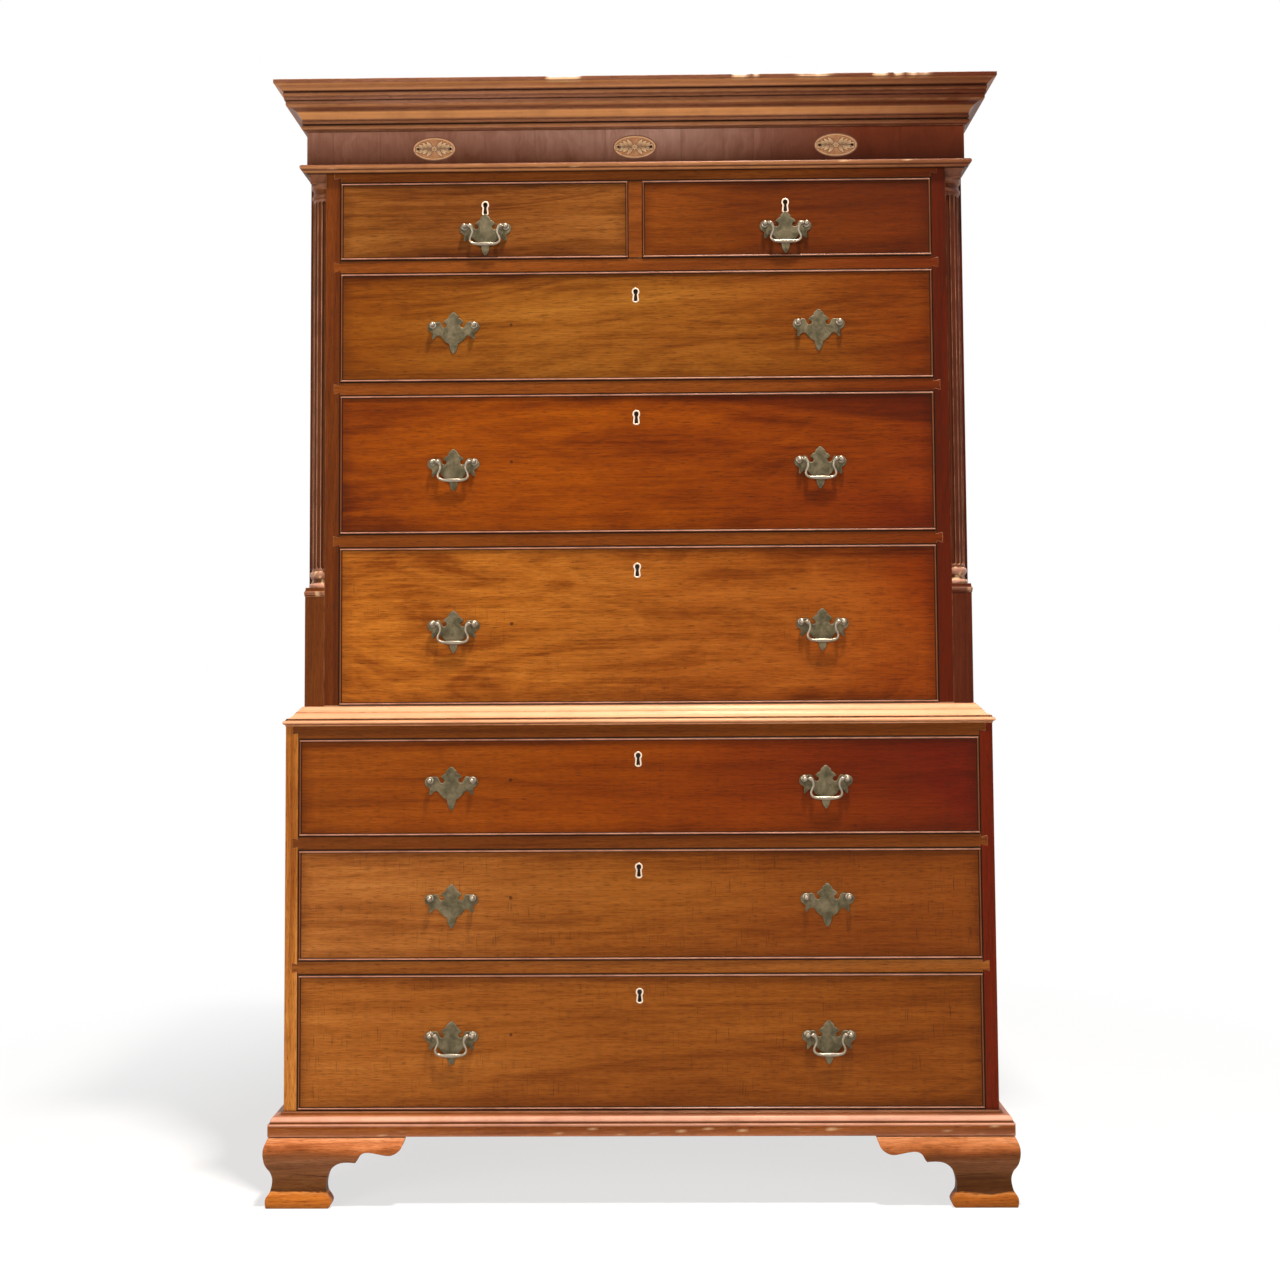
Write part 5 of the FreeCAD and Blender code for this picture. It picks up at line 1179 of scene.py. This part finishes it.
def add_frieze():
    """Veneer leaves side by side on the frieze boards."""
    mesh = bmesh.new()
    layer, leaf = wood_layer(mesh), number_layer(mesh, "leaf")

    def lay(corner, other, along, flip, jump, tone):
        """One leaf; along is the axis that its figure runs across."""
        before = set(mesh.verts)
        plank(mesh, corner, other, bevel=0.15*MM)
        for vert in mesh.verts:
            if vert not in before:
                vert[layer] = Vector((vert.co[along]*flip, vert.co.z, vert.co[1 - along])) + seeded(jump)
                vert[leaf] = tone

    inner, y_skin = UP_HALF - VENEER_THICK, UP_FRONT + VENEER_THICK
    x_in, y_in = UP_HALF - FRIEZE_THICK, UP_FRONT + FRIEZE_THICK
    joints = [joint*MM for joint in LEAF_JOINTS]
    starts = [-UP_HALF] + [joint + LEAF_GAP/2 for joint in joints]
    ends = [joint - LEAF_GAP/2 for joint in joints] + [UP_HALF]
    for index, (start, finish) in enumerate(zip(starts, ends)):
        lay((start, UP_FRONT, UP_TOP), (finish, y_skin, FRIEZE_TOP), 0, 1 if index % 2 else -1,
            index*3.3 + 1, abs(math.sin(index*2.3)))
    core = bmesh.new()
    plank(core, (-inner, y_skin, UP_TOP), (inner, y_in, FRAME_TOP), "x", 2)
    for side in (-1, 1):
        lay((side*inner, y_skin, UP_TOP), (side*UP_HALF, BACK, FRIEZE_TOP), 1, 1, 31 + side, 0.5)
        plank(core, (side*x_in, y_in, UP_TOP), (side*inner, BACK, FRAME_TOP), "y", 5 + side)
    make("frieze_leaves", "frieze", veneer("frieze_veneer"), mesh, 12)
    make("frieze_boards", "frieze", oak_boards, core, 12)


INLAY_OUT = 322*MM
INLAY_WIDE, INLAY_TALL, INLAY_DEEP = 70*MM, 39*MM, 0.6*MM
# The woods of an inlay by their place in the mesh's list.
LIGHT, GROUND, DARK = 0, 1, 2
# Rims of the oval: share of its width, wood, and how far it stands proud in millimetres.
INLAY_BANDS = [(1.0, DARK, 0.04), (0.965, GROUND, 0.08), (0.93, LIGHT, 0.12), (0.90, GROUND, 0.16)]


def oval(wide, tall, count=48):
    angles = [2*math.pi*step/count for step in range(count)]
    return [Vector((wide/2*math.cos(angle), tall/2*math.sin(angle))) for angle in angles]


def flat_piece(mesh, points, centre, proud, wood, scorch=None):
    """A thin inlaid shape; scorch gives how burnt it is at each point."""
    layer = number_layer(mesh, "scorch")
    before = set(mesh.faces)
    rings = loft(mesh, [[centre + Vector((point.x, -reach, point.y)) for point in points]
                        for reach in (-INLAY_DEEP, proud*MM)])
    for ring in rings:
        for index, vert in enumerate(ring):
            vert[layer] = scorch[index] if scorch else 0.0
    for face in mesh.faces:
        if face not in before:
            face.material_index = wood


def leaf_shape(start, angle, length, width, bend=0.0):
    """An almond leaf with a curved midrib and how far each point is from its tip; millimetres."""
    points, shares = [], []
    steps = [(step/8, 1) for step in range(9)] + [(step/8, -1) for step in range(7, 0, -1)]
    for share, side in steps:
        half = width*math.sin(math.pi*share**0.8)*side/2
        turn = angle + bend*share
        along = Vector((math.cos(turn), math.sin(turn)))
        points.append((start + along*length*share + Vector((-along.y, along.x))*half)*MM)
        shares.append(1 - share)
    return points, shares


def leaf(mesh, centre, start, angle, length, width, bend=0.0, proud=0.26, burn=1.0):
    """A pale leaf, most scorched at its stem."""
    points, burnt = leaf_shape(start, angle, length, width, bend)
    flat_piece(mesh, points, centre, proud, LIGHT, [mark**2*burn for mark in burnt])


def add_inlays():
    """Oval patera: banded border and a sprig of leaves of a plain traditional kind."""
    light = inlay_wood("inlay_light", (0.98, 0.62, 0.32), (0.80, 0.44, 0.19), 1)
    ground = inlay_wood("inlay_ground", (0.60, 0.26, 0.095), (0.42, 0.155, 0.045), 5)
    dark = inlay_wood("inlay_dark", (0.16, 0.050, 0.018), (0.10, 0.030, 0.010), 9)
    middle = (low("frieze_inlays").z + high("frieze_inlays").z)/2
    for index, x in enumerate((-INLAY_OUT, 0, INLAY_OUT)):
        mesh = bmesh.new()
        centre = Vector((x, UP_FRONT, middle))
        for share, wood, proud in INLAY_BANDS:
            trim = INLAY_WIDE*(1 - share)
            flat_piece(mesh, oval(INLAY_WIDE - trim, INLAY_TALL - trim), centre, proud, wood)
        for side in (-1, 1):
            for step in range(4):
                start = Vector((side*(4.0 + step*6.2), math.sin(step*1.3)*0.8))
                length = 15.5 - step*2.3
                for lift in (-1, 1):
                    rise = math.radians(64 - step*9)*lift
                    angle = rise if side > 0 else math.pi - rise
                    bend = -side*lift*0.15
                    edging = leaf_shape(start, angle, length + 1.2, 7.6, bend)[0]
                    flat_piece(mesh, edging, centre, 0.20, DARK)
                    leaf(mesh, centre, start, angle, length, 5.8, bend)
            leaf(mesh, centre, Vector((side*23.5, 0)), 0 if side > 0 else math.pi, 6.5, 4.2)
            stem = [(0.4, 0.5), (24, 0.35), (24, -0.35), (0.4, -0.5)]
            flat_piece(mesh, [Vector((side*out, rise))*MM for out, rise in stem], centre, 0.30, DARK)
        flat_piece(mesh, oval(10.5*MM, 10.5*MM, 24), centre, 0.32, DARK)
        for step in range(8):
            proud = 0.34 + 0.01*(step % 2)
            leaf(mesh, centre, Vector((0, 0)), step*math.pi/4, 5.4, 2.6, proud=proud, burn=0.8)
        make("inlay_patera_%d" % index, "frieze_inlays", light, mesh,
             others=(ground, dark))


# ---- quarter columns ----

SHAFT_RADIUS = 26.5*MM
FLUTES = 5
FLUTE_HALF = 3.4*MM
FLUTE_DEEP = 2.9*MM
COLUMN_FOOT = LOW_TOP + 207*MM
CAP_FOOT = LOW_TOP + 193*MM
COLUMN_HEAD = UP_TOP - 28*MM
FLUTE_LOW = COLUMN_FOOT + 30*MM
FLUTE_TOP = COLUMN_HEAD - 28*MM
SHAFT_LOW, SHAFT_TOP = FLUTE_LOW - 4*MM, FLUTE_TOP + 4*MM

# Turned rings at the foot and head of the shaft: radius and height, millimetres.
FOOT_RINGS = [(29.5, 0), (30.6, 1.6), (31.0, 3.5), (30.6, 5.4), (29.5, 7), (27.6, 7.4), (27.2, 8.6),
              (26.2, 10.4), (26.0, 12.6), (26.6, 14.6), (27.8, 15.9), (27.8, 17.2), (28.8, 18.2),
              (29.3, 20.2), (29.3, 22.4), (28.8, 24.4), (27.4, 25.6), (26.5, 26.4)]
HEAD_RINGS = [(26.5, -24.5), (27.6, -23.6), (28.4, -22), (28.6, -20), (28.4, -18), (27.6, -16.4),
              (26.5, -15.6), (26.5, -8.6), (27.2, -8.2), (27.4, -6.8), (28.6, -6.2), (29.4, -4.6),
              (29.5, -2.0), (29.5, 0)]
# Mouldings on the corner blocks: out and height, millimetres.
CAP_PROFILE = [(-30.5, 0), (0.6, 0), (0.6, 3.0), (1.2, 3.2), (1.2, 7.4), (0.9, 7.6), (-0.6, 10.6, -0.2),
               (-0.9, 14), (-30.5, 14)]
ABACUS_PROFILE = [(-30.5, 0), (-4.6, 0), (-4.6, 3.0), (-0.4, 11.6, -0.25), (0, 12.4), (0, 28), (-30.5, 28)]


def flute_depth(angle, z):
    """How deep the shaft is cut at this place; the flutes end in round scoops."""
    pitch = math.pi/2/FLUTES
    middle = (math.floor(angle/pitch) + 0.5)*pitch
    across = abs(angle - middle)*SHAFT_RADIUS
    past = max(FLUTE_LOW + FLUTE_HALF - z, z - FLUTE_TOP + FLUTE_HALF, 0)
    room = FLUTE_HALF**2 - across**2 - past**2
    return math.sqrt(room)/FLUTE_HALF*FLUTE_DEEP if room > 0 else 0.0


def column_loop(radius_at, z, sides, sign):
    """A quarter of a turned section and the corner of its notch."""
    loop = []
    for step in range(sides + 1):
        angle = math.pi/2*step/sides
        radius = radius_at(angle, z)
        loop.append(Vector((sign*(NOTCH_X + radius*math.cos(angle)), NOTCH_Y - radius*math.sin(angle), z)))
    return loop + [Vector((sign*NOTCH_X, NOTCH_Y, z))]


def shaft_radius(angle, z):
    return SHAFT_RADIUS - flute_depth(angle, z)


def from_axis(spot):
    """How far a place is from the middle line of its column."""
    return math.hypot(abs(spot.x) - NOTCH_X, spot.y - NOTCH_Y)


def add_shaft(sign, label):
    """The fluted shaft, with a painted highlight along its flutes' edges, stronger on the left column."""
    ends = [step/7 for step in range(8)]
    run = FLUTE_TOP - FLUTE_LOW - 2*FLUTE_HALF
    levels = [SHAFT_LOW]
    levels += [FLUTE_LOW + FLUTE_HALF*(1 - math.cos(math.pi/2*share)) for share in ends]
    levels += [FLUTE_LOW + FLUTE_HALF + run*step/40 for step in range(1, 41)]
    levels += [FLUTE_TOP - FLUTE_HALF*(1 - math.sin(math.pi/2*share)) for share in ends[1:]]
    levels += [SHAFT_TOP]
    mesh = bmesh.new()
    pale = number_layer(mesh, "pale")
    loft(mesh, [column_loop(shaft_radius, z, FLUTES*16, sign) for z in levels])
    mark_wood(mesh, 40 + sign)
    for vert in mesh.verts:
        # Painted highlight on the ridges between the flutes.
        vert[pale] = max(0.0, 1 - (SHAFT_RADIUS - from_axis(vert.co))/(1.2*MM))*(0.26 if sign < 0 else 0.08)
    make("column_shaft_" + label, "corner_columns", turned, mesh, 32)


def add_rings(sign, label):
    """The turned rings at both ends of the shaft, the lower ones knocked, with painted highlights on their
    outer edges, strongest on the lower ones.
    """
    mesh = bmesh.new()
    bare, pale = number_layer(mesh, "bare"), number_layer(mesh, "pale")
    foot = [(radius*MM, COLUMN_FOOT + height*MM) for radius, height in FOOT_RINGS]
    head = [(radius*MM, COLUMN_HEAD + height*MM) for radius, height in HEAD_RINGS]
    for steps in (foot + [(SHAFT_RADIUS, SHAFT_LOW)], [(SHAFT_RADIUS, SHAFT_TOP)] + head):
        loft(mesh, [column_loop(lambda angle, z: min(radius, NOTCH - 0.2*MM), z, 24, sign)
                    for radius, z in steps])
    mark_wood(mesh, 44 + sign)
    for vert in mesh.verts:
        # pale is a painted highlight on the outer edges of the rings.
        outer = (from_axis(vert.co) - SHAFT_RADIUS)/(NOTCH - SHAFT_RADIUS)
        if vert.co.z < COLUMN_FOOT + 0.1:
            vert[bare] = max(0.0, min(0.8, (noise.noise(vert.co*150) - 0.15)*3))
            vert[pale] = max(0.0, min(0.7, outer*0.8))
        else:
            vert[pale] = max(0.0, min(0.2, outer*0.2))
    make("column_rings_" + label, "corner_columns", turned, mesh, 50)


def corner_cap(mesh, profile, base_z, sign, bare_at=None):
    """A small moulding on the front and outer side of a corner block."""
    points = arcs(profile, 12)
    bare, pale = number_layer(mesh, "bare"), number_layer(mesh, "pale")
    loops, marks = [], []
    stations = 10
    for station in range(2*stations + 1):
        loop = []
        for point in points:
            out, z = point.x*MM, base_z + point.y*MM
            x, y = UP_HALF + out, UP_FRONT - out
            if station <= stations:
                x = NOTCH_X + (x - NOTCH_X)*station/stations
            else:
                y += (NOTCH_Y - y)*(station - stations)/stations
            knock = noise.noise(Vector((x*90*sign, y*90, z*50)))
            amount = max(0.0, knock - 0.12)*2.2 if out > (bare_at or 1) else 0.0
            shrink = min(amount, 1.0)*1.3*MM
            x -= shrink*(station >= stations)
            y += shrink*(station <= stations)
            loop.append(Vector((sign*x, y, z)))
            marks.append(min(1.0, amount*1.6))
        loops.append(loop)
    rings = loft(mesh, loops)
    for vert, mark in zip([vert for ring in rings for vert in ring], marks):
        vert[bare] = mark
        height = (vert.co.z - base_z)/MM
        # pale is a painted highlight on the bead of the cap, stronger on the left column.
        vert[pale] = max(0.0, 0.8 - abs(height - 5.6)/3.4)*(0.9 if sign < 0 else 0.6) if bare_at else 0.12


def add_columns():
    for sign, label in ((1, "right"), (-1, "left")):
        add_shaft(sign, label)
        add_rings(sign, label)
        blocks = bmesh.new()
        plank(blocks, (sign*NOTCH_X, UP_FRONT, LOW_TOP), (sign*UP_HALF, NOTCH_Y, CAP_FOOT), bevel=0.9*MM)
        corner_cap(blocks, CAP_PROFILE, CAP_FOOT, sign, 0.5*MM)
        corner_cap(blocks, ABACUS_PROFILE, COLUMN_HEAD, sign)
        mark_wood(blocks, 50 + sign)
        make("column_blocks_" + label, "corner_columns", turned, blocks, 21)


# ---- boards inside and behind ----

def add_boards():
    """Plain boards, each with eased edges and its own grain, along its length where no way is given."""
    for node, name, grain, first, bevel in (("upper_back", "back_boards_upper", "z", 60, 1.0*MM),
                                            ("lower_back", "back_boards_lower", "z", 70, 1.0*MM),
                                            ("lower_runners", "runners_lower", None, 80, 1.0*MM),
                                            ("upper_runners", "runners_upper", None, 100, 1.0*MM),
                                            ("lower_boards", "boards_lower", "x", 140, 1.0*MM),
                                            ("foot_blocks", "blocks", "z", 150, 1.5*MM)):
        mesh = bmesh.new()
        for index, (lowest, highest) in enumerate(box_solids(node)):
            size = highest - lowest
            plank(mesh, lowest, highest, grain or "xyz"[max(range(3), key=lambda axis: size[axis])],
                  first + index, bevel)
        make(name, node, oak_boards, mesh, 12)


# ---- floor, light and camera ----

def seen_plainly(graph):
    """1 for what the camera sees, also in metal and through glass."""
    rays = graph.add("LightPath").outputs
    ways = [Field(graph, rays[way]) for way in ("Is Camera Ray", "Is Glossy Ray", "Is Transmission Ray")]
    return ways[0].math("MAXIMUM", ways[1]).math("MAXIMUM", ways[2])


def pale_floor():
    """A pale floor that takes the shadow near the piece and fades to plain white further off."""
    graph = Graph("floor_pale")
    place = graph.position()
    x, y, z = place.parts()
    away = (x.math("POWER", 2.0) + y.math("POWER", 2.0)).math("SQRT")
    tint = graph.mix(place.noise(14, 3, 0.6).between(0.3, 0.7), (0.86, 0.86, 0.855), (0.89, 0.89, 0.885))
    matte = graph.field("BsdfDiffuse", {0: tint})
    white = graph.field("Emission", {0: (1, 1, 1, 1), 1: 1.0})
    far = seen_plainly(graph)*away.between(0.75, 1.7, 0.68, 1.0)
    graph.add("OutputMaterial", {0: graph.field("MixShader", {0: far, 1: matte, 2: white})})
    mesh = bmesh.new()
    bmesh.ops.create_grid(mesh, x_segments=8, y_segments=8, size=30)
    put_mesh("floor", mesh, [graph.owner])


def white_world():
    """A dim room as light, and plain white behind the piece."""
    graph = Graph("studio", "worlds")
    room = graph.field("Background", {0: (1.0, 0.98, 0.95, 1), 1: 0.14})
    backdrop = graph.field("Background", {0: (1, 1, 1, 1), 1: 1.0})
    blend = graph.field("MixShader", {0: seen_plainly(graph), 1: room, 2: backdrop})
    graph.add("OutputWorld", {0: blend})
    bpy.context.scene.world = graph.owner


def lamp(name, spot, aim, wide, tall, power, colour):
    data = bpy.data.lights.new(name, "AREA")
    data.shape = "RECTANGLE"
    data.size, data.size_y = wide, tall
    data.energy = power
    data.color = colour
    made = put(name, data)
    made.location = spot
    made.rotation_euler = (Vector(aim) - Vector(spot)).to_track_quat("-Z", "Y").to_euler()


def light_scene():
    lamp("key", (0.40, -1.20, 4.7), (0.0, -0.25, 0.9), 0.35, 0.28, 275, (1.0, 0.96, 0.90))
    lamp("left", (-3.3, -3.3, 1.5), (0, -0.2, 0.9), 1.6, 2.0, 74, (1.0, 0.98, 0.95))
    lamp("right", (3.3, -3.4, 1.3), (0, -0.2, 0.8), 1.6, 2.0, 34, (0.97, 0.98, 1.0))


# The camera, fitted to the photograph: place in millimetres, angles in radians.
CAMERA = (36.3, -2659.5, 832.95)
PITCH, YAW, ROLL = 0.0520438, 0.0132481, -0.0061914
LENS = 43.2
IMAGE = 1280
CENTRE_ROW = 579


def add_camera():
    data = bpy.data.cameras.new("camera")
    data.sensor_width = 36
    data.lens = LENS
    data.shift_y = (CENTRE_ROW - IMAGE/2)/IMAGE
    made = put("camera", data)
    level_right = Vector((math.cos(YAW), math.sin(YAW), 0))
    level_ahead = Vector((-math.sin(YAW), math.cos(YAW), 0))
    ahead = level_ahead*math.cos(PITCH) + Vector((0, 0, math.sin(PITCH)))
    upward = Vector((0, 0, math.cos(PITCH))) - level_ahead*math.sin(PITCH)
    right = level_right*math.cos(ROLL) + upward*math.sin(ROLL)
    up = upward*math.cos(ROLL) - level_right*math.sin(ROLL)
    turn = Matrix((right, up, -ahead)).transposed().to_4x4()
    made.matrix_world = Matrix.Translation(Vector(CAMERA)*MM) @ turn
    bpy.context.scene.camera = made


finish_case()
finish_drawers()
fit_brass()
add_mouldings()
add_feet()
add_frieze()
add_inlays()
add_columns()
add_boards()
pale_floor()
white_world()
light_scene()
add_camera()
bpy.context.scene.view_settings.view_transform = "Standard"
